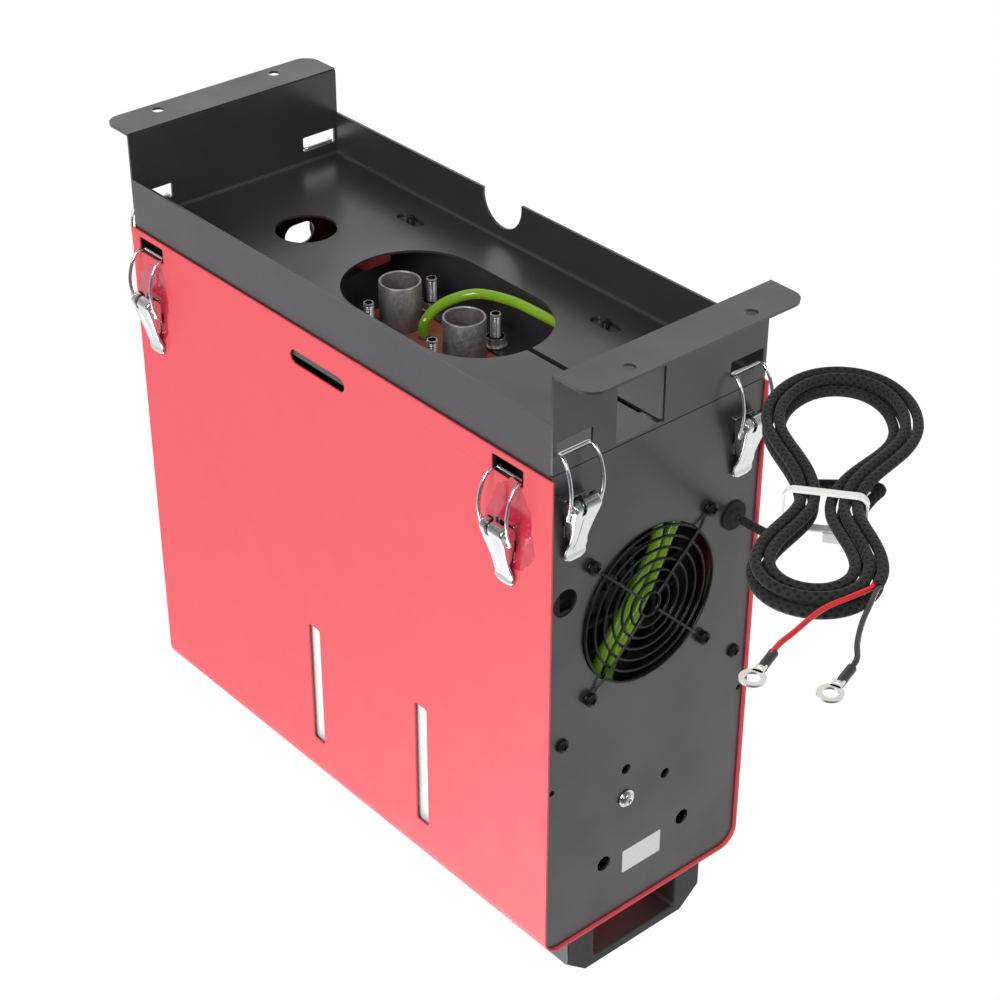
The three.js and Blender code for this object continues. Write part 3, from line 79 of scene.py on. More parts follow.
def add_node(tree, kind, result, inputs, **settings):
    """A shader node whose inputs get plain values, or links where a value is another node's output.
    Returns its output called result."""
    node = tree.nodes.new("ShaderNode" + kind)
    for key, value in settings.items():
        setattr(node, key, value)
    for key, value in inputs.items():
        if isinstance(value, bpy.types.NodeSocket):
            tree.links.new(value, node.inputs[key])
        else:
            node.inputs[key].default_value = value
    return node.outputs[result]


def add_range(tree, value, low, high, start=0.3, end=0.7):
    """The value between start and end spread from low to high."""
    return add_node(tree, "MapRange", "Result", {"Value": value, "From Min": start, "From Max": end,
                                                 "To Min": low, "To Max": high})


white = (1, 1, 1, 1)
floor_material = bpy.data.materials.new("pale floor")
floor_material.use_nodes = True
tree = floor_material.node_tree
tree.nodes.clear()
from_below = add_node(tree, "NewGeometry", "Backfacing", {})
pale = add_node(tree, "BsdfDiffuse", "BSDF", {"Color": (0.82, 0.82, 0.82, 1)})
glow = add_node(tree, "Emission", "Emission", {"Color": white})
clear = add_node(tree, "BsdfTransparent", "BSDF", {})
lifted = add_node(tree, "MixShader", "Shader", {"Fac": floor_glow, 1: pale, 2: glow})
one_sided = add_node(tree, "MixShader", "Shader", {"Fac": from_below, 1: lifted, 2: clear})
tree.links.new(one_sided, tree.nodes.new("ShaderNodeOutputMaterial").inputs["Surface"])
floor_mesh.materials.append(floor_material)

world = bpy.data.worlds.new("white room")
bpy.context.scene.world = world
world.use_nodes = True
tree = world.node_tree
tree.nodes.clear()
rays = tree.nodes.new("ShaderNodeLightPath").outputs
direction = add_node(tree, "TexCoord", "Generated", {})
slope = add_node(tree, "VectorMath", "Value", {0: direction, 1: (0.66, 0.75, 0.60)},
                 operation="DOT_PRODUCT")
cards = add_range(tree, slope, 0.12, 1.0, -0.4, 0.5)
room, studio, backdrop = [add_node(tree, "Background", "Background", {"Color": white, "Strength": strength})
                          for strength in (0.42, cards, 1.0)]
seen = add_node(tree, "Math", "Value", {0: rays["Is Camera Ray"], 1: rays["Is Transmission Ray"]},
                operation="MAXIMUM")
reflected = add_node(tree, "MixShader", "Shader", {"Fac": rays["Is Glossy Ray"], 1: room, 2: studio})
choice = add_node(tree, "MixShader", "Shader", {"Fac": seen, 1: reflected, 2: backdrop})
tree.links.new(choice, tree.nodes.new("ShaderNodeOutputWorld").inputs["Surface"])


def soft_lamp(name, place, target, size, power):
    """A square area lamp at place that faces target."""
    data = bpy.data.lights.new(name, "AREA")
    data.size = size
    data.energy = power
    lamp = bpy.data.objects.new(name, data)
    bpy.context.scene.collection.objects.link(lamp)
    lamp.location = place
    lamp.rotation_euler = (Vector(target) - Vector(place)).to_track_quat("-Z", "Y").to_euler()


soft_lamp("lamp under the front", (-0.6, -1.8, -0.95), (0, 0, 0.15), 1.2, 34)
soft_lamp("lamp under the intake end", (-1.8, 0.1, -0.8), (0, 0, 0.2), 1.0, 9)
soft_lamp("lamp above", (0.3, -0.9, 1.9), (0, 0, 0.2), 1.4, 32)
soft_lamp("lamp behind", (0.9, 1.7, 1.0), (0, 0, 0.2), 1.2, 26)

# ---------------------------------------------------------------- harness
# One cord of woven black sleeve, 5 mm thick, runs out of the intake end and lies on the floor in a hank
# of four turns. All sizes are in millimetres, and the route is that of the solid it stands for.
MM = 0.001
cord_radius = 2.5
hank_centre = np.array([-327.9, -50.5])
hank_ahead = np.array([-0.6, -0.8])
hank_aside = np.array([-0.8, 0.6])
hank_pitch = 5.7
hank_turns = 4.135
hank_round = -0.04
hank_waist = 2.4 * hank_pitch
hank_floor = cord_radius + 0.05
tie_thickness = 1.2


def smooth_step(value, start, end):
    """Zero before start, one after end, with the usual cubic between them."""
    share = np.clip((value - start) / (end - start), 0, 1)
    return share * share * (3 - 2 * share)


def hank_points(turns):
    """Points of the hank: an oval of two lobes drawn in at the tie, wound in and out by one pitch a turn."""
    def outermost(angle):
        """The outer turn, across and along the hank, by angle."""
        u = -15 + 95 * (np.cos(angle) + hank_round * np.cos(3 * angle)) / (1 + hank_round)
        lobes = hank_waist + 30 * (1 - np.exp(-((u / 45) ** 2)))
        return np.stack([u, lobes * np.sin(angle)], 1)

    angle = np.pi / 2 - 2 * np.pi * turns
    here = outermost(angle)
    along = outermost(angle - 0.01) - outermost(angle + 0.01)
    along /= np.linalg.norm(along, axis=1)[:, None]
    inset = (2 - np.abs(turns - 2)) * hank_pitch
    layer = 1 - smooth_step(turns, 1.88, 2.12) + 1 - smooth_step(turns, 0.02, 0.14)
    lift = (tie_thickness + 0.6) * np.exp(-((here[:, 0] / 16) ** 2))
    u = here[:, 0] + along[:, 1] * inset
    v = here[:, 1] - along[:, 0] * inset
    ground = hank_centre + u[:, None] * hank_ahead + v[:, None] * hank_aside
    return np.column_stack([ground, hank_floor + lift + layer * hank_pitch])


def bent_route(points, spacing):
    """A smooth line through points: cubic stretches whose knots lie the square root of each step apart."""
    p = np.array(points, float)
    p = np.vstack([2 * p[0] - p[1], p, 2 * p[-1] - p[-2]])
    stretches = []
    for a, b, c, d in zip(p[:-3], p[1:-2], p[2:-1], p[3:]):
        k0, k1, k2 = (np.sqrt(np.linalg.norm(step)) for step in (b - a, c - b, d - c))
        m1 = ((b - a) / k0 - (c - a) / (k0 + k1) + (c - b) / k1) * k1
        m2 = ((c - b) / k1 - (d - b) / (k1 + k2) + (d - c) / k2) * k1
        t = np.linspace(0, 1, 60, endpoint=False)[:, None]
        stretches.append((2 * t**3 - 3 * t**2 + 1) * b + (t**3 - 2 * t**2 + t) * m1
                         + (3 * t**2 - 2 * t**3) * c + (t**3 - t**2) * m2)
    return evenly(np.vstack(stretches + [p[-2:-1]]), spacing)


def evenly(points, spacing):
    """The same line with its points one spacing apart."""
    travel = np.concatenate([[0], np.cumsum(np.linalg.norm(np.diff(points, axis=0), axis=1))])
    steps = max(2, int(round(travel[-1] / spacing)))
    at = np.linspace(0, travel[-1], steps + 1)
    return np.column_stack([np.interp(at, travel, points[:, k]) for k in range(3)])


def tube_surface(line, radius, sides, closed=False):
    """Rings of sides points square to a line, carried along it without twist, and a cap on each end.
    Returns the points, the faces, and each ring's travel along the line."""
    if closed:
        ahead = np.roll(line, -1, 0) - np.roll(line, 1, 0)
    else:
        ahead = np.gradient(line, axis=0)
    ahead /= np.linalg.norm(ahead, axis=1)[:, None]
    side = np.zeros_like(line)
    first = np.cross(ahead[0], [0.31, 0.17, 0.93])
    side[0] = first / np.linalg.norm(first)
    for i in range(1, len(line)):
        carried = side[i - 1] - ahead[i] * side[i - 1].dot(ahead[i])
        side[i] = carried / np.linalg.norm(carried)
    third = np.cross(ahead, side)
    angle = 2 * np.pi * np.arange(sides) / sides
    radii = np.broadcast_to(radius, len(line))[:, None, None]
    rings = line[:, None] + radii * (np.cos(angle)[None, :, None] * side[:, None]
                                     + np.sin(angle)[None, :, None] * third[:, None])
    faces = grid_faces(len(line), sides, closed)
    if not closed:
        faces += [tuple(range(sides))[::-1], tuple((len(line) - 1) * sides + np.arange(sides))]
    travel = np.concatenate([[0], np.cumsum(np.linalg.norm(np.diff(line, axis=0), axis=1))])
    return rings.reshape(-1, 3), faces, travel


def grid_faces(rows, columns, rows_closed=False):
    """Quads between neighbouring points of a row of rings, stored ring by ring. Where rows_closed, the last
    ring joins the first."""
    i = np.arange(rows if rows_closed else rows - 1)[:, None]
    j = np.arange(columns)[None, :]
    next_i, next_j = (i + 1) % rows, (j + 1) % columns
    quads = np.stack([i * columns + j, i * columns + next_j, next_i * columns + next_j,
                      next_i * columns + j], -1)
    return [tuple(q) for q in quads.reshape(-1, 4).tolist()]


def map_along(mesh, sides, travel):
    """A map of a tube: once round it from 0 to 1, and metres of travel along it. A face that closes a
    ring has the ring's first point at 1."""
    start = np.array([face.loop_start for face in mesh.polygons])
    count = np.array([face.loop_total for face in mesh.polygons])
    loop_points = np.zeros(len(mesh.loops), int)
    mesh.loops.foreach_get("vertex_index", loop_points)
    ring, place = loop_points // sides, loop_points % sides
    closes = (np.minimum.reduceat(place, start) == 0) & (np.maximum.reduceat(place, start) == sides - 1)
    around = np.where(np.repeat(closes, count) & (place == 0), sides, place) / sides
    layer = mesh.uv_layers.new(name="along")
    layer.data.foreach_set("uv", np.column_stack([around, travel[ring] * MM]).ravel())


def new_object(name, mesh, material, crease):
    """An object of a mesh that is smooth except at edges sharper than crease degrees."""
    mesh.shade_smooth()
    mesh.set_sharp_from_angle(angle=math.radians(crease))
    mesh.materials.append(material)
    piece = bpy.data.objects.new(name, mesh)
    bpy.context.scene.collection.objects.link(piece)
    return piece


def round_edges(piece, width, clamp=True):
    """Rounds each edge of more than 50 degrees by width millimetres."""
    rounded = piece.modifiers.new("rounded edges", "BEVEL")
    rounded.width = width * MM
    rounded.segments = 2
    rounded.limit_method = "ANGLE"
    rounded.angle_limit = math.radians(50)
    rounded.use_clamp_overlap = clamp
    rounded.harden_normals = True


def make_piece(name, points, faces, material, body, slot, nodes=(), bevel=0.0, crease=35, travel=None):
    """A finished piece from points in millimetres. Doubles are merged and normals turned outwards."""
    mesh = bpy.data.meshes.new(name)
    mesh.from_pydata((np.asarray(points) * MM).tolist(), [], [tuple(map(int, f)) for f in faces])
    if travel is not None:
        map_along(mesh, len(points) // len(travel), travel)
    shape = bmesh.new()
    shape.from_mesh(mesh)
    bmesh.ops.remove_doubles(shape, verts=shape.verts, dist=1e-6)
    if bevel:
        bmesh.ops.dissolve_limit(shape, angle_limit=math.radians(0.2), verts=shape.verts, edges=shape.edges,
                                 delimit={"UV"})
    bmesh.ops.recalc_face_normals(shape, faces=shape.faces)
    shape.to_mesh(mesh)
    shape.free()
    piece = new_object(name, mesh, material, crease)
    if bevel:
        round_edges(piece, bevel)
    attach(piece, body)
    if nodes:
        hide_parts(*nodes)
    return piece


def new_material(name, colour, roughness, metallic=0.0, coordinates="Object"):
    """A Principled material whose plain values sit on its own sockets, with a coordinate output."""
    material = bpy.data.materials.new(name)
    material.use_nodes = True
    tree = material.node_tree
    shader = tree.nodes["Principled BSDF"]
    shader.inputs["Base Color"].default_value = (*colour, 1)
    shader.inputs["Roughness"].default_value = roughness
    shader.inputs["Metallic"].default_value = metallic
    place = tree.nodes.new("ShaderNodeTexCoord").outputs[coordinates]
    return material, tree, shader, place


def add_noise(tree, place, scale, detail=3.0, stretch=(1, 1, 1)):
    """A noise pattern with about scale features to a metre, stretched along an axis where asked."""
    stretched = add_node(tree, "Mapping", "Vector", {"Vector": place, "Scale": stretch})
    return add_node(tree, "TexNoise", "Fac", {"Vector": stretched, "Scale": scale, "Detail": detail})


def vary_colour(tree, shader, value, first, second):
    """Mixes the surface's colour from two, by value."""
    mixed = add_node(tree, "Mix", "Result", {"Factor": value, "A": (*first, 1), "B": (*second, 1)},
                     data_type="RGBA")
    tree.links.new(mixed, shader.inputs["Base Color"])


def vary_roughness(tree, shader, value, low, high):
    """Spreads the surface's roughness from low to high, by value."""
    tree.links.new(add_range(tree, value, low, high), shader.inputs["Roughness"])


def add_bump(tree, shader, value, strength, height):
    """Raises the surface by value, up to height metres."""
    raised = add_node(tree, "Bump", "Normal", {"Height": value, "Strength": strength, "Distance": height})
    tree.links.new(raised, shader.inputs["Normal"])


def woven_sleeve():
    """Black polyester braid: two sets of diagonal strands that cross, drawn on the cord's own map."""
    material, tree, shader, place = new_material("woven sleeve", (0.012, 0.012, 0.013), 0.75,
                                                 coordinates="UV")
    shader.inputs["Sheen Weight"].default_value = 0.08
    shader.inputs["Specular IOR Level"].default_value = 0.2
    strands = []
    for slant in (1, -1):
        slanted = add_node(tree, "Mapping", "Vector", {"Vector": place, "Scale": (8.0, 480.0 * slant, 1)})
        strands.append(add_node(tree, "TexWave", "Fac", {"Vector": slanted, "Scale": 0.32},
                                bands_direction="DIAGONAL"))
    weave = add_node(tree, "Math", "Value", {0: strands[0], 1: strands[1]}, operation="MAXIMUM")
    vary_colour(tree, shader, weave, (0.003, 0.003, 0.003), (0.020, 0.020, 0.022))
    add_bump(tree, shader, weave, 0.8, 0.0004)
    return material


nose_x = -183.3
harness_y, harness_z = 55.8, 132.5
grommet_nose = np.array([nose_x, harness_y, harness_z])
hank_line = hank_points(np.linspace(0, hank_turns, 6000))
hank_entry = hank_line[0] - hank_line[1]
hank_entry /= np.linalg.norm(hank_entry)
run_points = [grommet_nose + [-0.3, 0, 0], (-192, harness_y, harness_z), (-205, 55, 131), (-221, 50, 124),
              (-238, 38, 107), (-254, 20, 81), (-269, 2, 55), (-284, -14, 34), (-298, -26, 21.5),
              hank_line[0] + 14 * hank_entry, hank_line[0] + 6 * hank_entry,
              hank_line[0] + 0.3 * hank_entry]
harness_line = evenly(np.vstack([bent_route(run_points, 1.0), hank_line]), 1.6)
points, faces, travel = tube_surface(harness_line, cord_radius, 12)
harness = make_piece("harness_cord", points, faces, woven_sleeve(), "case", "black_plastic",
                     ["harness_run", "harness_hank"], travel=travel)

# ---------------------------------------------------------------- leads and ring terminals
# The sleeve gives out a red and a black lead. Each ends in a crimped ring terminal of tinned copper,
# under a short piece of black shrink tube.
lead_radius = 1.2
sleeve_end = hank_line[-1]
leaving = hank_line[-1] - hank_line[-2]
leaving[2] = 0
leaving /= np.linalg.norm(leaving)
lead_side = np.array([-leaving[1], leaving[0], 0])


def lead_point(along, sideways, height=lead_radius + 0.1):
    """A point so far from the sleeve's end along its last direction, and so far to its side."""
    point = sleeve_end + leaving * along + lead_side * sideways
    return np.array([point[0], point[1], height])


def finish(name, colour, roughness, metallic=0.0, sockets=None, tint=None, rough=None, skin=None):
    """A material with noise in its colour, roughness and skin where asked. tint, rough and skin each start
    with the noise's scale and detail. Two colours, two roughnesses, or the bump's strength and height
    follow. sockets holds further plain values."""
    material, tree, shader, place = new_material(name, colour, roughness, metallic)
    for socket, value in (sockets or {}).items():
        shader.inputs[socket].default_value = value
    for vary, values in ((vary_colour, tint), (vary_roughness, rough), (add_bump, skin)):
        if values:
            vary(tree, shader, add_noise(tree, place, *values[:2]), *values[2:])
    return material


def insulation(name, colour):
    """Smooth cable insulation with faint unevenness."""
    return finish(name, colour, 0.32, skin=(900, 3, 0.15, 0.0002))


def plated_metal(name, colour, roughness):
    """Bright plated steel: soft streaks in its roughness and a fine uneven skin."""
    grain = 700
    material, tree, shader, place = new_material(name, colour, roughness, 1.0)
    streaks = add_noise(tree, place, grain, 4, (1, 1, 0.12))
    vary_roughness(tree, shader, streaks, roughness * 0.8, roughness * 1.4)
    darker = tuple(0.88 * c for c in colour)
    vary_colour(tree, shader, add_noise(tree, place, 90), darker, colour)
    add_bump(tree, shader, add_noise(tree, place, grain), 0.02, 0.00003)
    return material


def fill_outline(outlines):
    """Triangles that fill the first outline round the others. Outlines are arrays of (a, b) points."""
    return tessellate_polygon([[Vector((a, b, 0)) for a, b in outline] for outline in outlines])


def cut_sheet(outer, holes, low, high, axis):
    """A flat sheet between two depths along an axis: two filled faces, and a wall along each edge."""
    outlines = [np.asarray(outer, float)] + [np.asarray(hole, float) for hole in holes]
    flat = np.vstack(outlines)
    count = len(flat)
    order = {"x": (2, 0, 1), "y": (0, 2, 1), "z": (0, 1, 2)}[axis]
    both = [np.column_stack([flat, np.full(count, depth)])[:, order] for depth in (low, high)]
    triangles = [tuple(t) for t in fill_outline(outlines)]
    faces = triangles + [tuple(i + count for i in reversed(t)) for t in triangles]
    start = 0
    for outline in outlines:
        i = start + np.arange(len(outline))
        j = start + (np.arange(len(outline)) + 1) % len(outline)
        faces += [tuple(q) for q in np.stack([i, j, j + count, i + count], 1).tolist()]
        start += len(outline)
    return np.vstack(both), faces


def gathered(parts):
    """Several sets of points and faces as one."""
    points, faces, start = [], [], 0
    for part_points, part_faces in parts:
        points.append(np.asarray(part_points, float))
        faces += [tuple(i + start for i in face) for face in part_faces]
        start += len(part_points)
    return np.vstack(points), faces


def round_outline(a, b, radius, count=36):
    """A circle as one line of points."""
    angle = 2 * np.pi * np.arange(count) / count
    return np.column_stack([a + radius * np.cos(angle), b + radius * np.sin(angle)])


def turned_surface(profile, sides, ripple=None):
    """A profile of (radius, height) points turned about Z. ripple changes the radius by angle and height."""
    profile = np.asarray(profile, float)
    angle = 2 * np.pi * np.arange(sides) / sides
    radius = np.repeat(profile[:, :1], sides, 1)
    if ripple is not None:
        radius = radius + ripple(angle[None, :], profile[:, 1:])
    height = np.repeat(profile[:, 1:], sides, 1)
    points = np.stack([radius * np.cos(angle), radius * np.sin(angle), height], -1).reshape(-1, 3)
    faces = grid_faces(len(profile), sides)
    if profile[0, 0] > 1e-6:
        faces.append(tuple(range(sides))[::-1])
    if profile[-1, 0] > 1e-6:
        faces.append(tuple((len(profile) - 1) * sides + np.arange(sides)))
    return points, faces


def turned_to(part, direction, place):
    """Points and faces whose Z is laid along a direction and that are then moved to a place."""
    points, faces = part
    turn = np.array(Vector((0, 0, 1)).rotation_difference(Vector(direction)).to_matrix())
    return points @ turn.T + np.asarray(place, float), faces


tinned = plated_metal("tinned copper", (0.82, 0.80, 0.76), 0.22)
shrink_material = insulation("shrink tube", (0.012, 0.012, 0.012))
for name, colour, side, bend, end in (("red_lead", (0.62, 0.008, 0.01), 1, 12, 66),
                                      ("black_lead", (0.012, 0.012, 0.013), -1, -5, 60)):
    start = side * (lead_radius + 0.05)
    turn_out = side * 9
    lead_end = lead_point(end, turn_out + bend * 0.7)
    route = [lead_point(0.3, start, sleeve_end[2]), lead_point(4, start, sleeve_end[2] - 0.5),
             lead_point(14, start + bend / 3), lead_point(28, bend),
             lead_point(end - 18, bend + turn_out * 0.4), lead_point(end - 8, turn_out + bend * 0.7),
             lead_end]
    line = bent_route(route, 1.0)
    points, faces, travel = tube_surface(line, lead_radius, 12)
    material = insulation(name.replace("_", " ") + " insulation", colour)
    lead = make_piece(name, points, faces, material, "case",
                      "red_insulation" if side > 0 else "black_plastic", [name])
    direction = (line[-1] - line[-2]) * [1, 1, 0]
    direction /= np.linalg.norm(direction)
    across = np.array([-direction[1], direction[0], 0])
    lug = np.array([direction, across, [0, 0, 1]])
    shrink_line = lead_end + np.array([0, 0, 0.9]) + np.linspace(-3, 8.5, 24)[:, None] * direction
    shrink = make_piece(name + "_shrink", *tube_surface(shrink_line, 2.05, 16)[:2], shrink_material, "case",
                        "black_plastic")
    ring = cut_sheet(round_outline(17, 0, 5.4, 48), [round_outline(17, 0, 3.2, 40)], 0.6, 1.6, "z")
    tongue = cut_sheet([(7.5, -2.0), (13, -2.2), (13, 2.2), (7.5, 2.0)], [], 0.6, 1.6, "z")
    barrel = turned_surface([(0, 7.0), (1.7, 7.0), (1.7, 10.4), (0, 10.6)], 20)
    barrel = turned_to(barrel, (1, 0, 0), (0, 0, 2))
    points, faces = gathered([ring, tongue, barrel])
    points = points @ lug + lead_end * [1, 1, 0]
    terminal = make_piece(name + "_terminal", points, faces, tinned, "case", "zinc")

# ---------------------------------------------------------------- cable tie
# A white nylon tie holds the hank at its waist: a toothed band and its square lock.
nylon = finish("white nylon", (0.86, 0.86, 0.84), 0.42, skin=(1500, 3, 0.2, 0.0001),
               sockets={"Subsurface Weight": 0.2, "Subsurface Scale": 0.002})

hank_frame = np.array([[hank_ahead[0], hank_ahead[1], 0], [-hank_ahead[1], hank_ahead[0], 0], [0, 0, 1]])
hank_origin = np.array([*hank_centre, 0])


def rounded_rectangle(a0, a1, b0, b1, radius, steps=6):
    """A rectangle with round corners, as one line of points that runs anticlockwise."""
    turn = np.linspace(0, np.pi / 2, steps + 1)
    corners = [(a1 - radius, b0 + radius, -np.pi / 2), (a1 - radius, b1 - radius, 0),
               (a0 + radius, b1 - radius, np.pi / 2), (a0 + radius, b0 + radius, np.pi)]
    return np.vstack([np.column_stack([a + radius * np.cos(start + turn), b + radius * np.sin(start + turn)])
                      for a, b, start in corners])


def band_surface(loop, half_width, thickness):
    """A flat band round X that follows a closed loop of (y, z) points, thick towards the loop's inside."""
    ahead = np.roll(loop, -1, 0) - np.roll(loop, 1, 0)
    ahead /= np.linalg.norm(ahead, axis=1)[:, None]
    inner = loop + thickness * np.column_stack([-ahead[:, 1], ahead[:, 0]])
    ring = np.stack([loop, inner, inner, loop], 1)
    width = np.array([-half_width, -half_width, half_width, half_width])
    points = np.concatenate([ring, np.broadcast_to(width[None, :, None], (len(loop), 4, 1))], -1)
    return points.reshape(-1, 3)[:, [2, 0, 1]], grid_faces(len(loop), 4, rows_closed=True)


tie_half = hank_waist + cord_radius + 1.2
tie_high = hank_floor + tie_thickness + 0.6 + 2 * hank_pitch + cord_radius + 0.5
tie_loop = rounded_rectangle(-tie_half - tie_thickness, tie_half + tie_thickness, 0.1,
                             tie_high + tie_thickness, 5, 10)
tie_band = band_surface(tie_loop, 2.3, tie_thickness)
lock = cut_sheet(rounded_rectangle(-3.5, 3.5, -8, 0, 0.8, 3), [], tie_high + tie_thickness / 2,
                 tie_high + tie_thickness + 4.2, "z")
points, faces = gathered([tie_band, lock])
make_piece("cable_tie", points @ hank_frame + hank_origin, faces, nylon, "case", "white_plastic",
           ["cable_tie"], bevel=0.25)

# ---------------------------------------------------------------- base tray
# The tray is folded from 1.5 mm steel and powder-coated black. Its floor hangs between two end walls,
# which turn outwards into feet, and its lips stand up inside the cover.
end_x = 179.0
inner_y = 73.0
sheet = 1.5
floor_under = 54.0
floor_top = floor_under + sheet
tray_rim = 27.6
lip_top = 77.5
heater_y, heater_z = -4.2, 161.1
bridge_screws = [(x, y) for x in (-87.2, 76.6) for y in (-47.5, 47.5)]
side_latch_x = (-148, 161.6)
end_latch_y = (-58.7, 58.7)
side_hook, end_hook = 70, 46.5
window_half, window_height = 11.7, 9.0
notch = (-31.65, 1.05)
notch_x, notch_z, notch_radius = 24.3, 30.6, 16.4
bend_radius = 2.2

black_powder, tree, shader, place = new_material("black powder coat", (0.030, 0.027, 0.031), 0.36)
shader.inputs["Coat Weight"].default_value = 0.35
shader.inputs["Coat Roughness"].default_value = 0.22
shader.inputs["Specular IOR Level"].default_value = 0.65
dust = add_noise(tree, place, 26, 6)
vary_roughness(tree, shader, dust, 0.28, 0.46)
specks = add_range(tree, add_noise(tree, place, 2100, 1), 0, 1, 0.66, 0.76)
vary_colour(tree, shader, specks, (0.027, 0.024, 0.028), (0.075, 0.07, 0.078))
add_bump(tree, shader, add_noise(tree, place, 1400, 2), 0.28, 0.00012)


def without_repeats(line):
    """The line without any point that repeats the one before."""
    return line[np.append(True, np.abs(np.diff(line, axis=0)).sum(1) > 1e-6)]


def obround(a, b, length, width, steps=20):
    """A slot with half-round ends, as one line of points."""
    radius = width / 2
    reach = length / 2 - radius
    turn = np.linspace(-np.pi / 2, np.pi / 2, steps + 1)
    half = np.column_stack([reach + radius * np.cos(turn), radius * np.sin(turn)])
    return np.vstack([half, -half]) + [a, b]


def concave_bar(start, end, corner, toward_a, toward_b, radius, axis, steps=6):
    """A bar in an inner corner whose free side is a hollow quarter-round, as inside a folded bend."""
    turn = np.linspace(0, np.pi / 2, steps + 1)
    hollow = np.column_stack([corner[0] + toward_a * radius * (1 - np.sin(turn)),
                              corner[1] + toward_b * radius * (1 - np.cos(turn))])
    return cut_sheet(np.vstack([[corner], hollow]), [], start, end, axis)


def floor_outline():
    """The floor's edge, which runs in along the slit, round the pipe opening and out again."""
    edge = np.roll(rounded_rectangle(-end_x + 0.7, end_x - 0.7, -inner_y + 0.7, inner_y - 0.7, 1, 3), 4, 0)
    centre, radius, slit = np.array([-13, -0.5]), 40.5, np.array([-2.35, 1.15])
    reach = 135.5 / 2 - radius
    low, high = np.arcsin((centre[1] - slit[0]) / radius), np.arcsin((slit[1] - centre[1]) / radius)
    arcs = [(-reach, np.linspace(np.pi + low, np.pi * 1.5, 20)),
            (reach, np.linspace(-np.pi / 2, np.pi / 2, 40)),
            (-reach, np.linspace(np.pi / 2, np.pi - high, 20))]
    opening = np.vstack([np.column_stack([centre[0] + shift + radius * np.cos(turn),
                                          centre[1] + radius * np.sin(turn)]) for shift, turn in arcs])
    return np.vstack([[(-end_x + 0.7, slit[0])], edge, [(-end_x + 0.7, slit[1])], opening[::-1]])


screw_slots = [obround(x, y, 21, 8, 10) for x, y in bridge_screws]
tray_floor = cut_sheet(floor_outline(), [round_outline(107, -4.5, 18, 56), *screw_slots],
                       floor_under, floor_top, "z")


def window(a, top):
    """A latch's window under its upper edge, which the bail hooks on to."""
    return rounded_rectangle(a - window_half, a + window_half, top - window_height, top, 0.6, 2)


def wall_outline(notch):
    """The front or back wall with its lip. The lip is short of the end walls; notch cuts a half-round."""
    lower, upper = end_x - sheet, end_x - sheet - 0.3
    line = [(-lower, tray_rim)]
    if notch:
        turn = np.linspace(np.pi, 0, 40)
        line += [(notch_x - notch_radius, tray_rim)]
        line += [(notch_x + notch_radius * c, notch_z + notch_radius * s)
                 for c, s in zip(np.cos(turn), np.sin(turn))]
        line += [(notch_x + notch_radius, tray_rim)]
    line += [(lower, tray_rim), (lower, floor_top), (upper, floor_top + 0.1), (upper, lip_top - 1),
             (upper - 1, lip_top), (1 - upper, lip_top), (-upper, lip_top - 1), (-upper, floor_top + 0.1),
             (-lower, floor_top)]
    return line


parts = [tray_floor]
for side in (-1, 1):
    faces_y = sorted((side * inner_y, side * (inner_y - sheet)))
    side_windows = [window(x, side_hook) for x in side_latch_x]
    parts.append(cut_sheet(wall_outline(side > 0), side_windows, *faces_y, "y"))
    faces_x = sorted((side * end_x, side * (end_x - sheet)))
    wall_holes = [window(y, end_hook) for y in end_latch_y]
    if side < 0:
        wall_holes.append(rounded_rectangle(*notch, 1.6, 53.9, 0.5, 2))
    parts.append(cut_sheet(rounded_rectangle(-inner_y, inner_y, 0.75, floor_top - 0.2, 0.4, 2), wall_holes,
                           *faces_x, "x"))
    foot_edge = rounded_rectangle(end_x - 0.8, end_x + 25, -inner_y, inner_y, 10, 10)
    foot_edge = np.where(foot_edge[:, :1] < end_x + 14, np.column_stack(
        [np.full(len(foot_edge), end_x - 0.8), np.sign(foot_edge[:, 1]) * inner_y]), foot_edge)
    foot_edge = without_repeats(foot_edge) * [side, 1]
    foot_holes = [round_outline(side * 195.5, y, 3.5, 28) for y in (-41, 41)]
    parts.append(cut_sheet(foot_edge, foot_holes, 0, sheet, "z"))
    corner = (side * (inner_y - sheet), floor_under)
    parts.append(concave_bar(-end_x + sheet, end_x - sheet, corner, -side, -1, bend_radius, "x"))
    parts.append(concave_bar(-inner_y + 0.2, inner_y - 0.2, (side * end_x, sheet), side, 1, 1.6, "y"))
    bar_ends = [sheet - inner_y, *notch, inner_y - sheet] if side < 0 else [sheet - inner_y, inner_y - sheet]
    for low, high in zip(bar_ends[::2], bar_ends[1::2]):
        corner = (side * (end_x - sheet), floor_under)
        parts.append(concave_bar(low, high, corner, -side, -1, bend_radius, "y"))
make_piece("base_tray", *gathered(parts), black_powder, "case", "black_paint", ["base_tray"], bevel=0.35)

# ---------------------------------------------------------------- red cover
# One sheet of 1.2 mm steel, cut flat and folded twice over the front, the top and the back. It is
# powder-coated salmon red, and most of its shine is hidden by the film that it is delivered in.
cover_x = end_x + 2
cover_y = 74.5
cover_top = 367.5
cover_low = 57.6
cover_sheet = 1.2
fold_radius = 12.0
fold_arc = fold_radius * np.pi / 2
flat_top = cover_y - fold_radius
drop = cover_top - fold_radius - cover_low
filler_x = 70
handle_x = 166.5
handle_screw_y = (-45.6, 37.4)
fold_lines = np.linspace(0, fold_arc, 13)

red_powder = finish("salmon red powder coat", (0.73, 0.088, 0.105), 0.5, sockets={"Specular IOR Level": 0.35},
                    tint=(7, 2, (0.71, 0.085, 0.102), (0.75, 0.091, 0.108)), rough=(60, 5, 0.47, 0.55),
                    skin=(1800, 2, 0.15, 0.0001))


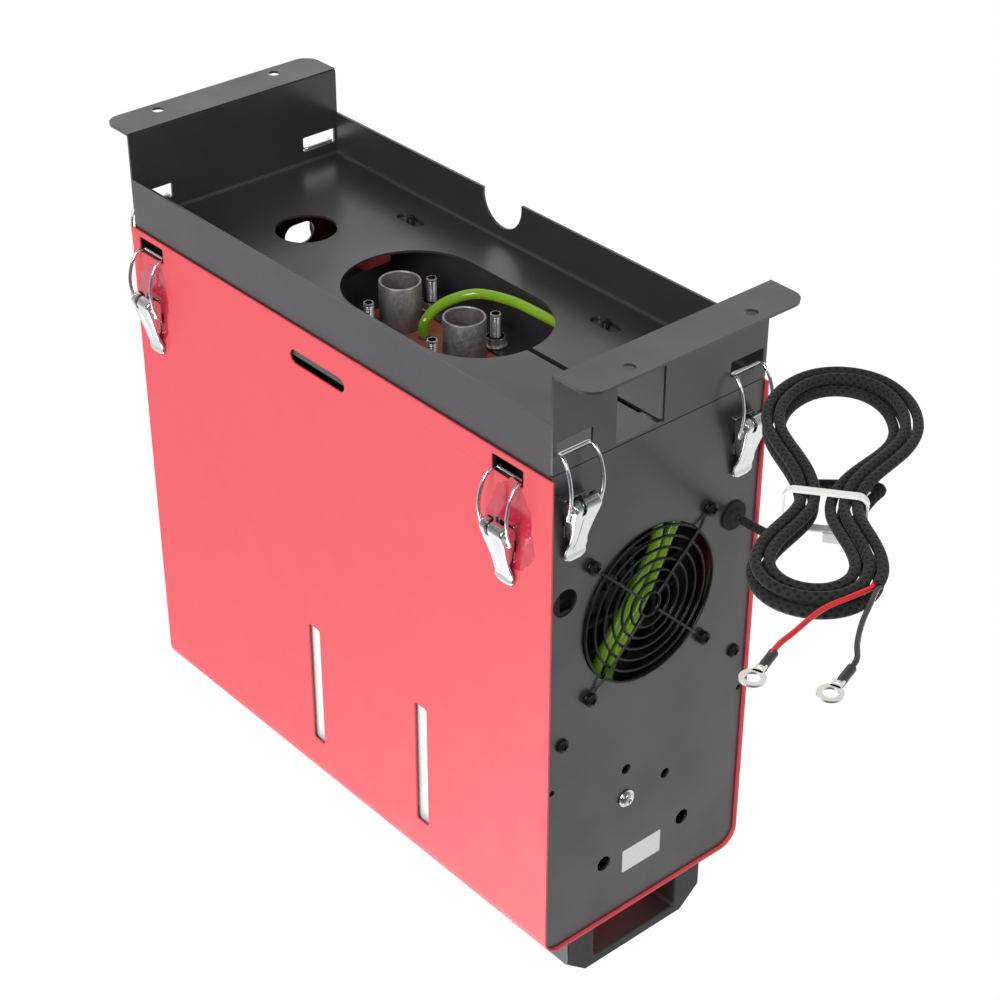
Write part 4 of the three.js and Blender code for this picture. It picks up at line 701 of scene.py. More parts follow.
def folded_sheet(outer, holes, name):
    """A flat pattern of (x, s) points, cut along its fold lines and bent round the two folds.
    s runs over the top from the back edge to the front edge. A fold turns s into an angle of its arc."""
    outlines = [np.asarray(line, float) for line in (outer, *holes)]
    pattern = bmesh.new()
    corners = [pattern.verts.new((x, s, 0)) for x, s in np.vstack(outlines)]
    for triangle in fill_outline(outlines):
        if len(set(triangle)) == 3:
            pattern.faces.new([corners[i] for i in triangle])
    for fold in fold_lines:
        for side in (-1, 1):
            bmesh.ops.bisect_plane(pattern, geom=pattern.verts[:] + pattern.edges[:] + pattern.faces[:],
                                   plane_co=(0, side * (flat_top + fold), 0), plane_no=(0, 1, 0), dist=1e-5)
    between_folds = []
    for edge in pattern.edges:
        ends = [vertex.co.y for vertex in edge.verts]
        off_lines = np.abs(abs(ends[0]) - flat_top - fold_lines).min() > 1e-3
        if abs(ends[0] - ends[1]) > 1e-4 or off_lines:
            between_folds.append(edge)
    bmesh.ops.dissolve_limit(pattern, angle_limit=0.01, verts=pattern.verts, edges=between_folds)
    mesh = bpy.data.meshes.new(name)
    pattern.to_mesh(mesh)
    pattern.free()
    place = np.zeros(len(mesh.vertices) * 3)
    mesh.vertices.foreach_get("co", place)
    x, s, _ = place.reshape(-1, 3).T
    turn = np.clip((np.abs(s) - flat_top) / fold_radius, 0, np.pi / 2)
    down = np.clip(np.abs(s) - flat_top - fold_arc, 0, None)
    y = np.sign(s) * (np.minimum(np.abs(s), flat_top) + fold_radius * np.sin(turn))
    z = cover_top - fold_radius + fold_radius * np.cos(turn) - down
    mesh.vertices.foreach_set("co", np.column_stack([x, y, z]).ravel() * MM)
    return mesh


def fold_place(z):
    """How far along the flat pattern, from the middle of the top, a height on the front lies."""
    return flat_top + fold_arc + cover_top - fold_radius - z


half_pattern = flat_top + fold_arc + drop
cover_holes = [round_outline(filler_x, 0, 22, 48)]
cover_holes += [round_outline(x, y, 2.3, 16) for x in (-handle_x, handle_x) for y in handle_screw_y]
for side in (-1, 1):
    for x in side_latch_x:
        cover_holes.append(rounded_rectangle(x - window_half, x + window_half, -4.9, 5.1, 0.8, 2)
                           + [0, side * fold_place(66)])
cover_holes.append(obround(6.2, -fold_place(77.2), 47.5, 8.5, 14))
for x in (-76, 21):
    cover_holes.append(rounded_rectangle(x - 5.15, x + 5.15, -42, 42, 1.5, 4) - [0, fold_place(296)])
pattern_mesh = folded_sheet([(-cover_x, -half_pattern), (cover_x, -half_pattern), (cover_x, half_pattern),
                             (-cover_x, half_pattern)], cover_holes, "outer_cover")


normals = bmesh.new()
normals.from_mesh(pattern_mesh)
for face in normals.faces:
    face.normal_update()
if sum(face.normal.z * face.calc_area() for face in normals.faces) < 0:
    bmesh.ops.reverse_faces(normals, faces=normals.faces)
normals.to_mesh(pattern_mesh)
normals.free()
cover = new_object("outer_cover", pattern_mesh, red_powder, 35)
wall = cover.modifiers.new("thickness", "SOLIDIFY")
wall.thickness = cover_sheet * MM
wall.offset = -1
round_edges(cover, 0.3, clamp=False)
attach(cover, "case")
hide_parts("outer_cover")

# ---------------------------------------------------------------- end plates
# Two flat plates of 1.5 mm steel close the ends, coated like the tray, with six small holes each. The
# intake end also has the fan's opening and nine smaller holes. The hot-air end has the collar's opening
# and an oblong hole.
plate_low = floor_top + 0.3
plate_top = cover_top - 1.5
plate_corner = 10.5
shelf_screw_y, shelf_screw_z = 63.1, 224.6
pump_screw_y, pump_screw_z = -15.1, 286.4
guard_reach = 41.25


def plate_outline():
    """A plate's edge: round corners at the top and square ones at the tray."""
    line = rounded_rectangle(-inner_y, inner_y, plate_low, plate_top, plate_corner, 12)
    lower = line[:, 1] < plate_low + plate_corner + 0.01
    line[lower, 0] = np.sign(line[lower, 0]) * inner_y
    line[lower, 1] = np.where(line[lower, 1] < plate_low + plate_corner, plate_low, line[lower, 1])
    return without_repeats(line)


def end_plate(name, holes, x):
    """A plate with its inner and outer face at two places along X."""
    plate = cut_sheet(plate_outline(), holes, *x, "x")
    return make_piece(name, *plate, black_powder, "case", "black_paint", [name], bevel=0.3)


guard_corners = [(heater_y + a * guard_reach, heater_z + b * guard_reach) for a in (-1, 1) for b in (-1, 1)]
common_holes = [round_outline(s * y, z, radius, count) for y, z, radius, count in (
    (69.7, 253.4, 1.8, 16), (30, 325.3, 4.75, 28), (shelf_screw_y, shelf_screw_z, 2.3, 20)) for s in (-1, 1)]
intake_holes = common_holes + [round_outline(*hole) for hole in (
    (heater_y, heater_z, 46.5, 96), (harness_y, harness_z, 7, 32), (-63, 134, 8, 36),
    (pump_screw_y, pump_screw_z, 2.3, 20), (-15.6, 266, 3.2, 24), (14.6, 285.2, 3.2, 24))]
intake_holes += [round_outline(y, z, 2.3, 20) for y, z in guard_corners]
outlet_holes = common_holes + [round_outline(heater_y, heater_z, 36.3, 80), obround(41, 99, 22, 14, 12)]
end_plate("intake_end_plate", intake_holes, (-end_x, sheet - end_x))
end_plate("outlet_end_plate", outlet_holes, (end_x - sheet, end_x))

# ---------------------------------------------------------------- screws
# Black pan-head screws with a cross recess hold the guard and the tank's shelf. The pump's screw is
# bright zinc and has a washer.
zinc = plated_metal("bright zinc", (0.80, 0.81, 0.83), 0.2)


def screw_head(radius, height, recess):
    """A domed head as rings of points: the dome falls with the square of the radius, and a cross of
    four tapered slots is pressed into its middle."""
    rings, sides = 20, 64
    r = np.concatenate([np.linspace(0.0, 0.62, 13), np.linspace(0.7, 1.0, 7)])[:, None] * radius
    angle = 2 * np.pi * np.arange(sides)[None, :] / sides
    x, y = r * np.cos(angle), r * np.sin(angle)
    dome = height * (0.35 + 0.65 * np.sqrt(np.clip(1 - (r / radius) ** 2 * 0.98, 0, 1)))
    arm = 0.17 * radius
    slot_along = np.minimum(np.abs(x), np.abs(y))
    cross = np.clip((arm - slot_along) / (0.3 * arm), 0, 1)
    cross = cross * np.clip((0.58 * radius - r) / (0.12 * radius), 0, 1)
    top = np.stack([x, y, dome - recess * cross], -1).reshape(-1, 3)
    side = np.column_stack([radius * np.cos(angle[0]), radius * np.sin(angle[0]), np.zeros(sides)])
    points = np.vstack([top, side])
    faces = grid_faces(rings + 1, sides)
    faces.append(tuple(rings * sides + np.arange(sides)))
    return points, faces


pan_head = screw_head(4.0, 2.4, 1.1)
shank_radius = 1.9


def end_screw(name, side, y, z, lift, material, slot, nodes=(), washer=False):
    """A screw in an end plate: its head on the plate, and its shank through it."""
    parts = [pan_head, turned_surface([(shank_radius, -5.5), (shank_radius, 0.05)], 20)]
    if washer:
        parts.append(turned_surface([(2.0, -0.9), (5.2, -0.9), (5.4, -0.6), (5.2, -0.1), (2.0, -0.1),
                                     (2.0, -0.9)], 32))
    screw = turned_to(gathered(parts), (side, 0, 0), (side * (end_x + lift), y, z))
    return make_piece(name, *screw, material, "case", slot, nodes, crease=30)


dull_black = finish("blackened steel", (0.012, 0.012, 0.013), 0.34, 0.6, rough=(400, 3, 0.25, 0.5),
                    skin=(1500, 3, 0.15, 0.0001))

for index, (y, z) in enumerate(guard_corners, 1):
    end_screw(f"guard_screw_{index}", -1, y, z, 2.2, dull_black, "black_paint", [f"guard_screw_{index}"])
for index, y in enumerate((-shelf_screw_y, shelf_screw_y), 1):
    end_screw(f"shelf_screw_{index}", -1, y, shelf_screw_z, 0.3, dull_black, "black_paint",
              [f"shelf_screw_{index}"])
    end_screw(f"outlet_shelf_screw_{index}", 1, y, shelf_screw_z, 0.3, dull_black, "black_paint")
end_screw("pump_screw", -1, pump_screw_y, pump_screw_z, 1.2, zinc, "zinc", ["pump_screw"], washer=True)

# ---------------------------------------------------------------- fan guard
# A finger guard of 1.6 mm steel wire, coated black: seven rings spot-welded under four spokes, whose
# ends are bent into eyes for the screws.
guard_wire = 0.8
ring_x = -end_x - 0.3 - guard_wire
spoke_x = ring_x - 1.2 * guard_wire
ring_radii = np.linspace(7, 45.4, 7)


def ring_line(radius, x, y, z, count):
    """A circle round X as one line of points."""
    angle = 2 * np.pi * np.arange(count) / count
    return np.column_stack([np.full(count, x), y + radius * np.cos(angle), z + radius * np.sin(angle)])


wires = [tube_surface(ring_line(r, ring_x, heater_y, heater_z, 40 + int(2 * r)), guard_wire, 10, True)[:2]
         for r in ring_radii]
eye_radius = shank_radius + 0.4 + guard_wire
for y, z in guard_corners:
    wires.append(tube_surface(ring_line(eye_radius, ring_x, y, z, 24), guard_wire, 8, True)[:2])
    inward = np.array([heater_y - y, heater_z - z])
    reach = np.linalg.norm(inward)
    inward /= reach
    along = [(eye_radius, ring_x), (eye_radius + 4, ring_x), (eye_radius + 8, spoke_x),
             (reach * 0.7, spoke_x), (reach - 7, spoke_x)]
    route = [(x, y + inward[0] * a, z + inward[1] * a) for a, x in along]
    wires.append(tube_surface(bent_route(route, 1.5), guard_wire, 10)[:2])
make_piece("fan_guard", *gathered(wires), dull_black, "case", "black_paint", ["fan_guard"])

# ---------------------------------------------------------------- latches
# Eight sprung draw latches of bright zinc-plated steel. Each is a base spot-welded to the case, a
# pressed lever on a riveted pin, and a wire bail that hooks into a window.
latch_width = 17.0
hinge_out, hinge_up = 7.2, 27.5
bail_out, bail_up = 6.2, 33.5
latch_places = []
for side_x, end in ((-1, "intake"), (1, "outlet")):
    for side_y, face in ((-1, "front"), (1, "back")):
        turn = 0 if side_x > 0 else math.pi
        latch_places.append((f"{end}_{face}", side_x * end_x, end_latch_y[side_y > 0], turn, end_hook))
for side_y, face in ((-1, "front"), (1, "back")):
    for x, hand in zip(side_latch_x, ("left", "right")):
        latch_places.append((f"{face}_{hand}", x, side_y * cover_y, side_y * math.pi / 2, side_hook))


def to_latch(points, x, y, turn, hook):
    """Points of a latch's own frame, X out of the case and Z up from the hook edge, put in their place."""
    c, s = math.cos(turn), math.sin(turn)
    return np.asarray(points) @ np.array([[c, s, 0], [-s, c, 0], [0, 0, 1]]) + [x, y, hook]


def lever_surface():
    """The lever as a pressed channel, from rings of points across it at steps along its length. Its end is
    rolled round the pin on a circle and slotted for the spring's leg, and its cheeks turn back to the
    case and fade out at the tongue."""
    roll = 4.5
    along = np.concatenate([hinge_up - roll * np.cos(np.linspace(0.12, np.pi / 2, 10)),
                            np.linspace(28.5, 47, 19), np.linspace(48, 61.3, 20)])
    web_out = 12.5 - 0.318 * (along - 24.5) + 1.5 * smooth_step(along, 56, 61.3)
    fall = (hinge_up - along).clip(0) / roll
    web_out = web_out.clip(0, 11.7) - roll * (1 - np.sqrt(1 - fall**2))
    taper = smooth_step(along, 28, 47)
    half = 8.5 - 2.3 * taper + 1.0 * smooth_step(along, 48.5, 53.5)
    tip = smooth_step(along, 58.0, 61.3)
    half = half * np.sqrt(np.clip(1 - 0.75 * tip**3, 0, 1))
    cheek = (web_out - 2.2) * (1 - smooth_step(along, 44.5, 49.5))
    cheek = np.maximum(cheek - fall**2 * 3.2, 0.9)
    wall = 1.0
    across = np.linspace(-1, 1, 33)
    corner = np.clip((np.abs(across) - 0.86) / 0.14, 0, 1)
    outer_y = half[:, None] * np.sign(across) * np.minimum(np.abs(across) / 0.98, 1)
    crease = 0.45 * smooth_step(along, 31, 36) * (1 - smooth_step(along, 50, 54))
    outer_x = web_out[:, None] - 0.8 * corner**2 + crease[:, None] * (smooth_step(across, 0.20, 0.34) - 0.5)
    low = web_out - cheek
    ring = np.concatenate([
        np.stack([low, -half], -1)[:, None], np.stack([outer_x, outer_y], -1),
        np.stack([low, half], -1)[:, None], np.stack([low, half - wall], -1)[:, None],
        np.stack([outer_x - wall, outer_y * ((half - wall) / half)[:, None]], -1)[:, ::-1],
        np.stack([low, wall - half], -1)[:, None]], 1)
    count = ring.shape[1]
    height = np.broadcast_to(along[:, None, None], (len(along), count, 1))
    points = np.concatenate([ring, height], -1).reshape(-1, 3)
    faces = grid_faces(len(along), count)
    last, slot_row, slot_from, slot_to = count - 1, 12, 20, 25
    cut = {row * count + column for row in range(slot_row) for outer in range(slot_from, slot_to)
           for column in (outer, last - 1 - outer)}
    faces = [face for index, face in enumerate(faces) if index not in cut]
    for row, columns in ((0, [*range(slot_from), *range(slot_to, count // 2 - 1)]),
                         (len(along) - 1, range(count // 2 - 1)), (slot_row, range(slot_from, slot_to))):
        base = row * count
        faces += [(base + k, base + k + 1, base + last - 1 - k, base + last - k) for k in columns]
    for column in (slot_from, slot_to):
        faces += [(row * count + column, (row + 1) * count + column, (row + 1) * count + last - column,
                   row * count + last - column) for row in range(slot_row)]
    return points, faces


def latch_base():
    """The welded plate with its two ears, the hinge pin and its riveted ends."""
    ear_half = latch_width / 2 - 1.4
    plate = cut_sheet(rounded_rectangle(-ear_half, ear_half, 25.1, 46.5, 1.0, 4),
                      [round_outline(0, 41, 1.6, 16)], 0.05, 1.5, "x")
    turn = np.radians(np.linspace(-140, 40, 12))
    ear_line = [(0.1, 41), (0.1, 34)]
    ear_line += list(np.column_stack([hinge_out + 2.5 * np.cos(turn), hinge_up + 2.5 * np.sin(turn)]))
    ears = [cut_sheet(ear_line, [], *sorted((s * ear_half, s * (ear_half - 1.2))), "y") for s in (-1, 1)]
    rivet = latch_width / 2 + 0.3
    upper = [(1.2, rivet - 0.16), (2.1, rivet - 0.15), (2.1, rivet), (1.5, rivet + 0.6), (0, rivet + 0.7)]
    profile = [(radius, -height) for radius, height in upper[::-1]] + upper
    pin = turned_to(turned_surface(profile, 20), (0, 1, 0), (hinge_out, 0, hinge_up))
    coil = np.linspace(0, 8 * np.pi, 80)
    spring_line = np.column_stack([hinge_out + 2.2 * np.cos(coil), np.linspace(-4, 4, 80),
                                   hinge_up + 2.2 * np.sin(coil)])
    return gathered([plate, *ears, pin, tube_surface(spring_line, 0.45, 6)[:2]])


def bail_line(hook_depth):
    """The bail's wire from one inward end to the other, smooth through its bends."""
    leg = latch_width / 2 + 0.4 + 1.0
    half = [(bail_out, latch_width / 2 - 1.3, bail_up), (bail_out, latch_width / 2 + 0.2, bail_up),
            (bail_out + 0.4, leg, bail_up - 1.6), (8.6, leg + 0.3, 25), (9.4, leg + 0.7, 15),
            (6.4, leg + 0.5, 4), (2.2, leg + 0.1, -0.9), (0.6 - hook_depth, leg - 0.1, -1.25),
            (0.1 - hook_depth, leg - 0.4, -1.3), (-hook_depth, leg - 1.1, -1.3),
            (-hook_depth, leg - 2.0, -1.3)]
    other = [(x, -y, z) for x, y, z in half[::-1]]
    return bent_route(half + other, 0.8)


lever_points, lever_faces = lever_surface()
base_points, base_faces = latch_base()
for name, x, y, turn, hook in latch_places:
    depth = 0.75 if hook == end_hook else 2.25
    bail_points, bail_faces, _ = tube_surface(bail_line(depth), 1.0, 12)
    make_piece(f"lever_{name}", to_latch(lever_points, x, y, turn, hook), lever_faces, zinc,
               f"lever_{name}", "zinc", [f"lever_{name}"], crease=40)
    make_piece(f"bail_{name}", to_latch(bail_points, x, y, turn, hook), bail_faces, zinc,
               f"bail_{name}", "zinc", [f"bail_{name}"])
    make_piece(f"latch_base_{name}", to_latch(base_points, x, y, turn, hook), base_faces, zinc,
               "case", "zinc", bevel=0.15)

# ---------------------------------------------------------------- carrying handles
# Two black nylon handles, each moulded in one piece with its two legs, are screwed on from inside.
black_nylon = finish("moulded black nylon", (0.018, 0.018, 0.019), 0.5, rough=(700, 3, 0.46, 0.56),
                     skin=(2200, 2, 0.35, 0.00012))

handle_y = (-55.7, 47.5)
handle_z = (cover_top + 0.3, cover_top + 30.5)
leg, grip, depth_x = 20.2, 7.0, 25.0
chamfer_across, chamfer_up = 14.2, 12.0


def handle_outline():
    """The handle seen from its end: two legs under a bar whose outer corners are cut off at a slant."""
    (left, right), (low, high) = handle_y, handle_z
    inner = rounded_rectangle(left + leg, right - leg, low - 8, high - grip, 2.5, 5)
    inner = inner[inner[:, 1] > low + 1]
    return np.vstack([[(left, low), (left + leg, low)], inner[::-1],
                      [(right - leg, low), (right, low), (right, high - chamfer_up),
                       (right - chamfer_across, high), (left + chamfer_across, high),
                       (left, high - chamfer_up)]])


for end, name in ((-1, "carry_handle_intake"), (1, "carry_handle_outlet")):
    middle = end * handle_x
    bar = cut_sheet(handle_outline(), [], middle - depth_x / 2, middle + depth_x / 2, "x")
    make_piece(name, *bar, black_nylon, "case", "black_plastic", [name], bevel=1.2)
    for index, y in enumerate(handle_screw_y, 1):
        screw = gathered([pan_head, turned_surface([(shank_radius, -1.7), (shank_radius, 0.05)], 20)])
        screw = turned_to(screw, (0, 0, -1), (middle, y, cover_top - 1.4))
        make_piece(f"{name}_screw_{index}", *screw, dull_black, "case", "black_plastic")

# ---------------------------------------------------------------- heater's mounting
# The heater stands on a black steel bridge. Its foot is sealed by a brown board gasket and drawn down
# by four zinc-plated M6 studs with flange nuts. Four screws hold the bridge in the floor's slots.
bridge_z = 82.5
bridge_inside, bridge_outside = 40.8, 42.3
bridge_x = (-98, 88)
bridge_low = floor_top + 0.3
stud_places = [(x, y) for x in (-27.3, 27.3) for y in (-22.3, 22.3)]
plate_holes = [obround(0, 0, 100.8, 33, 28)] + [round_outline(x, y, 3.4, 24) for x, y in stud_places]
parts = [cut_sheet(rounded_rectangle(*bridge_x, -bridge_outside, bridge_outside, 1.5, 4), plate_holes,
                   bridge_z, bridge_z + sheet, "z")]
for side in (-1, 1):
    leg_y = sorted((side * bridge_inside, side * bridge_outside))
    foot_y = sorted((side * (bridge_inside + 0.4), side * (bridge_outside + 14)))
    leg_edge = rounded_rectangle(*bridge_x, bridge_low + 0.5, bridge_z + 1, 0.8, 2)
    parts.append(cut_sheet(leg_edge, [], *leg_y, "y"))
    foot_holes = [round_outline(x, y, 2.4, 20) for x, y in bridge_screws if y * side > 0]
    parts.append(cut_sheet(rounded_rectangle(*bridge_x, *foot_y, 1.5, 4), foot_holes,
                           bridge_low, bridge_low + sheet, "z"))
make_piece("heater_bridge", *gathered(parts), black_powder, "case", "black_paint", ["heater_bridge"],
           bevel=0.3)


def threaded_rod(radius, low, high, pitch, depth):
    """A rod whose radius falls and rises once a pitch, with the crest climbing one pitch a turn."""
    height = np.arange(low + 0.5, high - 0.8, pitch / 7)

    def thread(angle, z):
        """How far the surface lies under the crest, which is a zigzag once a pitch."""
        wave = np.abs(((z / pitch - angle / (2 * np.pi)) % 1) * 2 - 1)
        inside = (z > low + 1) & (z < high - 1.1)
        return np.where(inside, -depth * wave, 0)
    profile = [(0, low), (radius - depth - 0.3, low)] + [(radius, z) for z in height]
    profile += [(radius - depth - 0.5, high), (0, high)]
    return turned_surface(profile, 28, thread)


def ring_surface(profile, sides):
    """A profile that ends where it began, turned about Z, so without the two discs that close an open one."""
    points, faces = turned_surface(profile, sides)
    return points, faces[:-2]


def flange_nut(corner, flange_radius, low, high):
    """A nut with six sides on a round flange, both with the stud's hole through them."""
    body_top = low + 4.0
    bore = 3.05
    flange = [(bore, body_top - 0.1), (bore, high), (flange_radius - 0.3, high), (flange_radius, high - 0.3),
              (flange_radius, high - 0.9), (corner, body_top - 0.1), (bore, body_top - 0.1)]
    hexagon = cut_sheet(round_outline(0, 0, corner, 6), [round_outline(0, 0, bore, 24)], low, body_top, "z")
    return gathered([hexagon, ring_surface(flange, 40)])


stud_zinc = plated_metal("zinc on studs and nuts", (0.86, 0.87, 0.88), 0.42)
upright = (0, 0, 1)
stud = threaded_rod(3.0, 63, 90, 1.0, 0.42)
nut = flange_nut(5.7, 6.6, 76.8, 82.2)
for index, (x, y) in enumerate(stud_places, 1):
    make_piece(f"stud_{index}", *turned_to(stud, upright, (x, y, 0)), stud_zinc, "case", "zinc", crease=30)
    make_piece(f"flange_nut_{index}", *turned_to(nut, upright, (x, y, 0)), stud_zinc, "case", "zinc",
               bevel=0.2)
screw = gathered([pan_head, threaded_rod(2.3, -6, 0.4, 0.8, 0.3)])
for index, (x, y) in enumerate(bridge_screws, 1):
    make_piece(f"bridge_screw_{index}", *turned_to(screw, upright, (x, y, bridge_low + sheet)), dull_black,
               "case", "black_paint", crease=40)

board = finish("brown gasket board", (0.42, 0.11, 0.05), 0.62, skin=(900, 3, 0.4, 0.0002),
               tint=(260, 5, (0.32, 0.075, 0.035), (0.54, 0.15, 0.07)))
pipe_x = 27.4
gasket_holes = [round_outline(s * pipe_x, 0, 12.3, 48) for s in (-1, 1)]
gasket_holes += [round_outline(x, y, 3.3, 20) for x, y in (*stud_places, (7, 0))]
gasket = cut_sheet(rounded_rectangle(-50, 50, -34, 34, 8, 8), gasket_holes, 84.3, 86.3, "z")
make_piece("base_gasket", *gasket, board, "case", "gasket", ["base_gasket"], bevel=0.2)

# ---------------------------------------------------------------- pipes
# The combustion-air and exhaust pipes are stubs of dull grey cast metal, 24 mm across, with turned ends.
grey_metal = finish("dull grey cast metal", (0.38, 0.35, 0.36), 0.48, 0.85, rough=(500, 5, 0.36, 0.62),
                    tint=(330, 6, (0.27, 0.25, 0.26), (0.50, 0.46, 0.47)), skin=(1700, 3, 0.45, 0.00018))
pipe_profile = [(10.9, 57), (11.7, 57.1), (12, 57.6), (12, 94), (10.5, 94), (10.5, 57.5), (10.9, 57)]
for side, name in ((-1, "air_pipe"), (1, "exhaust_pipe")):
    pipe = turned_to(ring_surface(pipe_profile, 64), upright, (side * pipe_x, 0, 0))
    make_piece(name, *pipe, grey_metal, "case", "steel", [name])

# ---------------------------------------------------------------- fuel hoses
# Clear yellow-green PU hose, 6 mm outside and 4 mm inside, from the tank to the filter, from there to
# the pump, and from the pump to the heater's inlet between its pipes.
green_pu = finish("clear green hose", (0.42, 0.78, 0.03), 0.12, skin=(300, 3, 0.08, 0.0002),
                  sockets={"Transmission Weight": 0.55, "IOR": 1.45, "Coat Weight": 0.5,
                           "Coat Roughness": 0.08},
                  tint=(45, 3, (0.30, 0.62, 0.02), (0.52, 0.86, 0.06)))

hose_radius = 3.0
hose_bore = 2.0
pump_x, pump_y = -160, -15.1
filter_z = floor_top + 0.3 + 8
hose_routes = {
    "suction_hose": [(-150.3, -40, 250), (-157, -40, 249.5), (-164, -39, 240), (-168, -36, 220),
                     (-168, -29, 196), (-168, -6, 162), (-168, 11, 130), (-168, 5, 108), (-168, -14, 92),
                     (-167, -32, 80), (-165, -35, 69), (-165, -28, filter_z), (-165, -20.3, filter_z)],
    "filter_hose": [(-165, 24.3, filter_z), (-165, 31, filter_z), (-166, 39, 69), (-168, 42, 84),
                    (-168, 35, 108), (-168, 20, 134), (-168, 3, 166), (-168, -20, 201), (-165, -19, 222),
                    (pump_x, pump_y, 233), (pump_x, pump_y, 239.7)],
    "pressure_hose": [(pump_x, pump_y, 338.3), (pump_x, pump_y, 343), (-160, -4, 352), (-161, 18, 350),
                      (-163, 35, 330), (-165, 40, 290), (-165, 42, 240), (-166, 52, 205), (-167, 58, 165),
                      (-166, 57, 118), (-162, 52, 84), (-148, 44, 64), (-122, 37.3, 60), (-85, 36.5, 60),
                      (-51, 36.2, 60), (-25, 33.8, 60), (-4, 26, 62), (6, 10, 68), (7, 0, 76), (7, 0, 82.2)]}


def hose_surface(line, outside, inside, sides=20):
    """A hose as one closed wall: an outer and an inner tube, joined by a ring at each end."""
    outer, _, travel = tube_surface(line, outside, sides)
    inner, _, _ = tube_surface(line, inside, sides)
    count = len(line) * sides
    shell = grid_faces(len(line), sides)
    faces = shell + [tuple(i + count for i in reversed(face)) for face in shell]
    here = np.arange(sides)
    ahead = (here + 1) % sides
    ring = np.stack([here, ahead, ahead + count, here + count], 1)
    for start in (0, count - sides):
        faces += [tuple(face) for face in (ring + start).tolist()]
    return np.vstack([outer, inner]), faces


for name, route in hose_routes.items():
    hose = hose_surface(bent_route(route, 1.6), hose_radius, hose_bore)
    make_piece(name, *hose, green_pu, "case", "green_hose", [name])

# ---------------------------------------------------------------- grommet and hot-air collar
# A rubber grommet holds the harness in its hole. The collar of black heat-proof nylon has a rolled rim.
rubber = finish("black rubber", (0.010, 0.010, 0.010), 0.8, skin=(1300, 3, 0.3, 0.0002))
seat = -end_x - 0.3
inside = -177.2
grommet_profile = [(0, nose_x), (3.2, nose_x), (3.7, nose_x + 0.25), (4.2, nose_x + 1.2), (4.7, seat - 1.5),
                   (8.0, seat - 1.5), (8.5, seat - 1.1), (8.5, seat), (6.7, seat), (6.7, inside),
                   (8.5, inside), (8.5, inside + 1), (8.0, inside + 1.5), (0, inside + 1.5)]
grommet = turned_to(turned_surface(grommet_profile, 40), (1, 0, 0), (0, harness_y, harness_z))
make_piece("harness_grommet", *grommet, rubber, "case", "rubber", ["harness_grommet"])
collar_profile = [(34, 150.3), (54, 150.3), (54, 152.3), (36, 152.3), (35.9, 153), (35.9, 192), (36, 193.4),
                  (35.6, 194.6), (35, 195), (34.4, 194.6), (34, 193.6), (34, 150.3)]
collar = turned_to(ring_surface(collar_profile, 96), (1, 0, 0), (0, heater_y, heater_z))
make_piece("outlet_collar", *collar, black_nylon, "case", "black_plastic", ["outlet_collar"])

# ---------------------------------------------------------------- filler cap
# A moulded cap with 32 shallow flutes and a raised rim screws on to the tank's neck.
flute_low, flute_high = 371.5, 387


def flutes(angle, z):
    """The radius falls 0.9 mm in each flute, between the cap's lower edge and its rounded top."""
    wave = np.clip(np.cos(32 * angle), -0.2, 1)
    return -0.9 * np.where((z > flute_low) & (z < flute_high), 0.5 - 0.5 * wave, 0)


cap_profile = [(0, 383.3), (19.4, 383.3), (19.4, 370), (24.6, 370), (25, 370.5)]
cap_profile += [(25, z) for z in np.linspace(flute_low, flute_high, 8)]
cap_profile += [(24.7, 388.6), (23.4, 390.4), (21.6, 391), (19.5, 390.8), (18.6, 390.1), (17.5, 389.9),
                (0, 389.9)]
cap = turned_to(turned_surface(cap_profile, 192, flutes), upright, (filler_x, 0, 0))
make_piece("filler_cap", *cap, black_nylon, "cap", "black_plastic", ["filler_cap"], crease=50)

# ---------------------------------------------------------------- sticker and film
# A blank white paper label sticks on the intake plate. Torn scraps of the cover's clear film are left
# round the two front latches, glossy and creased. Their colour has the creases' shade and highlight painted
# in: darker in the hollows and lighter on the ridges.
paper = finish("white label", (0.85, 0.84, 0.84), 0.45, skin=(160, 3, 0.25, 0.0002),
               tint=(300, 3, (0.80, 0.79, 0.79), (0.90, 0.89, 0.89)))
label = cut_sheet(rounded_rectangle(-15.8, 13.2, 325, 340.5, 1.0, 4), [], -end_x - 0.16, -end_x - 0.02, "x")
make_piece("blank_label", *label, paper, "case", "white_plastic")

# The tint uses the same noise as the crease bump, so the film is painted darker in the creases' hollows and
# lighter on their ridges: painted shade and painted highlight of the creases.
red_film_painted_crease_shade = finish("creased film over red", (0.52, 0.02, 0.05), 0.14, skin=(85, 5, 0.7, 0.0012),
                  sockets={"Coat Weight": 0.6, "Coat Roughness": 0.05},
                  tint=(85, 5, (0.42, 0.012, 0.035), (0.66, 0.04, 0.075)))


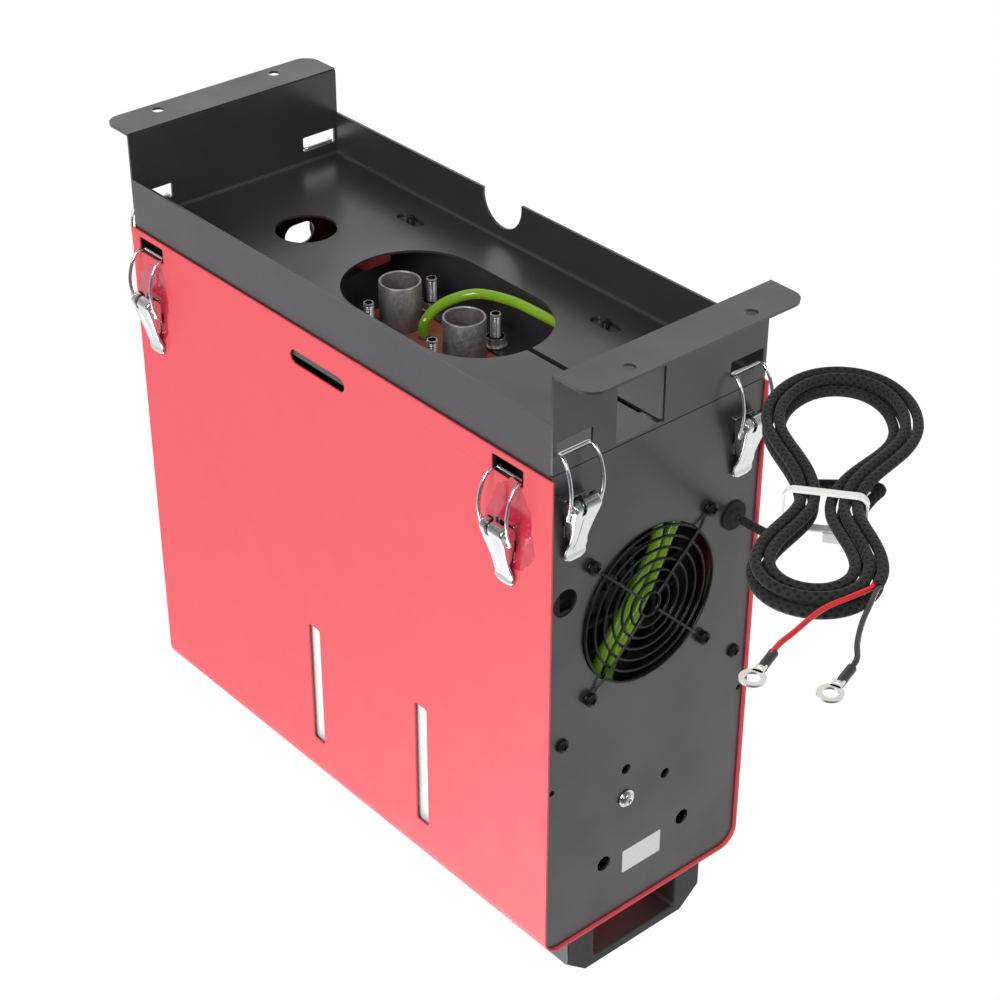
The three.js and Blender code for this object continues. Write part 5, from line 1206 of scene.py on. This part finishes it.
def film_scrap(x, z, reach_x, reach_z, seed):
    """A torn scrap: its edge is an oval whose radius wavers by three sine waves of the angle."""
    angle = 2 * np.pi * np.arange(90) / 90
    waver = (1 + 0.09 * np.sin(3 * angle + seed) + 0.05 * np.sin(7 * angle + 2 * seed)
             + 0.02 * np.sin(19 * angle))
    edge = np.column_stack([x + reach_x * waver * np.cos(angle), z + reach_z * waver * np.sin(angle)])
    return cut_sheet(edge, [], -cover_y - 0.14, -cover_y - 0.02, "y")


make_piece("film_scrap_left", *film_scrap(-151, 96, 17, 25, 0.6), red_film_painted_crease_shade, "case", "red_paint")
make_piece("film_scrap_right", *film_scrap(162, 98, 14, 24, 2.1), red_film_painted_crease_shade, "case", "red_paint")

# ---------------------------------------------------------------- pieces inside
# The shelf, tank, pump, filter, fan, casing and burner keep their solids and get their finishes here.
tank_plastic = finish("natural white tank", (0.90, 0.90, 0.88), 0.35, skin=(200, 3, 0.3, 0.0004),
                      sockets={"Subsurface Weight": 0.5, "Subsurface Scale": 0.01},
                      tint=(30, 4, (0.80, 0.80, 0.80), (0.95, 0.95, 0.94)))
casting = finish("cast aluminium", (0.52, 0.52, 0.53), 0.5, 0.9, rough=(250, 5, 0.4, 0.65),
                 skin=(1100, 4, 0.5, 0.0003))
lacquer = finish("green circuit lacquer", (0.012, 0.10, 0.035), 0.3, skin=(700, 3, 0.2, 0.0002),
                 tint=(500, 3, (0.008, 0.07, 0.025), (0.02, 0.14, 0.05)))
clear_white = finish("milky filter plastic", (0.82, 0.83, 0.80), 0.2, skin=(400, 3, 0.1, 0.0002),
                     sockets={"Transmission Weight": 0.3})

finishes = {black_powder: ["tank_shelf"], tank_plastic: ["fuel_tank"], clear_white: ["fuel_filter"],
            grey_metal: ["fuel_pump", "burner_tube", "glow_plug", "motor_shaft"], rubber: ["pump_clip"],
            casting: ["heat_exchanger"], lacquer: ["control_board"],
            black_nylon: ["fan_motor", "blower_wheel", "lower_casing", "upper_casing", "intake_grille"]}
for material, names in finishes.items():
    for name in names:
        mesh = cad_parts[name].data
        mesh.materials.clear()
        mesh.materials.append(material)
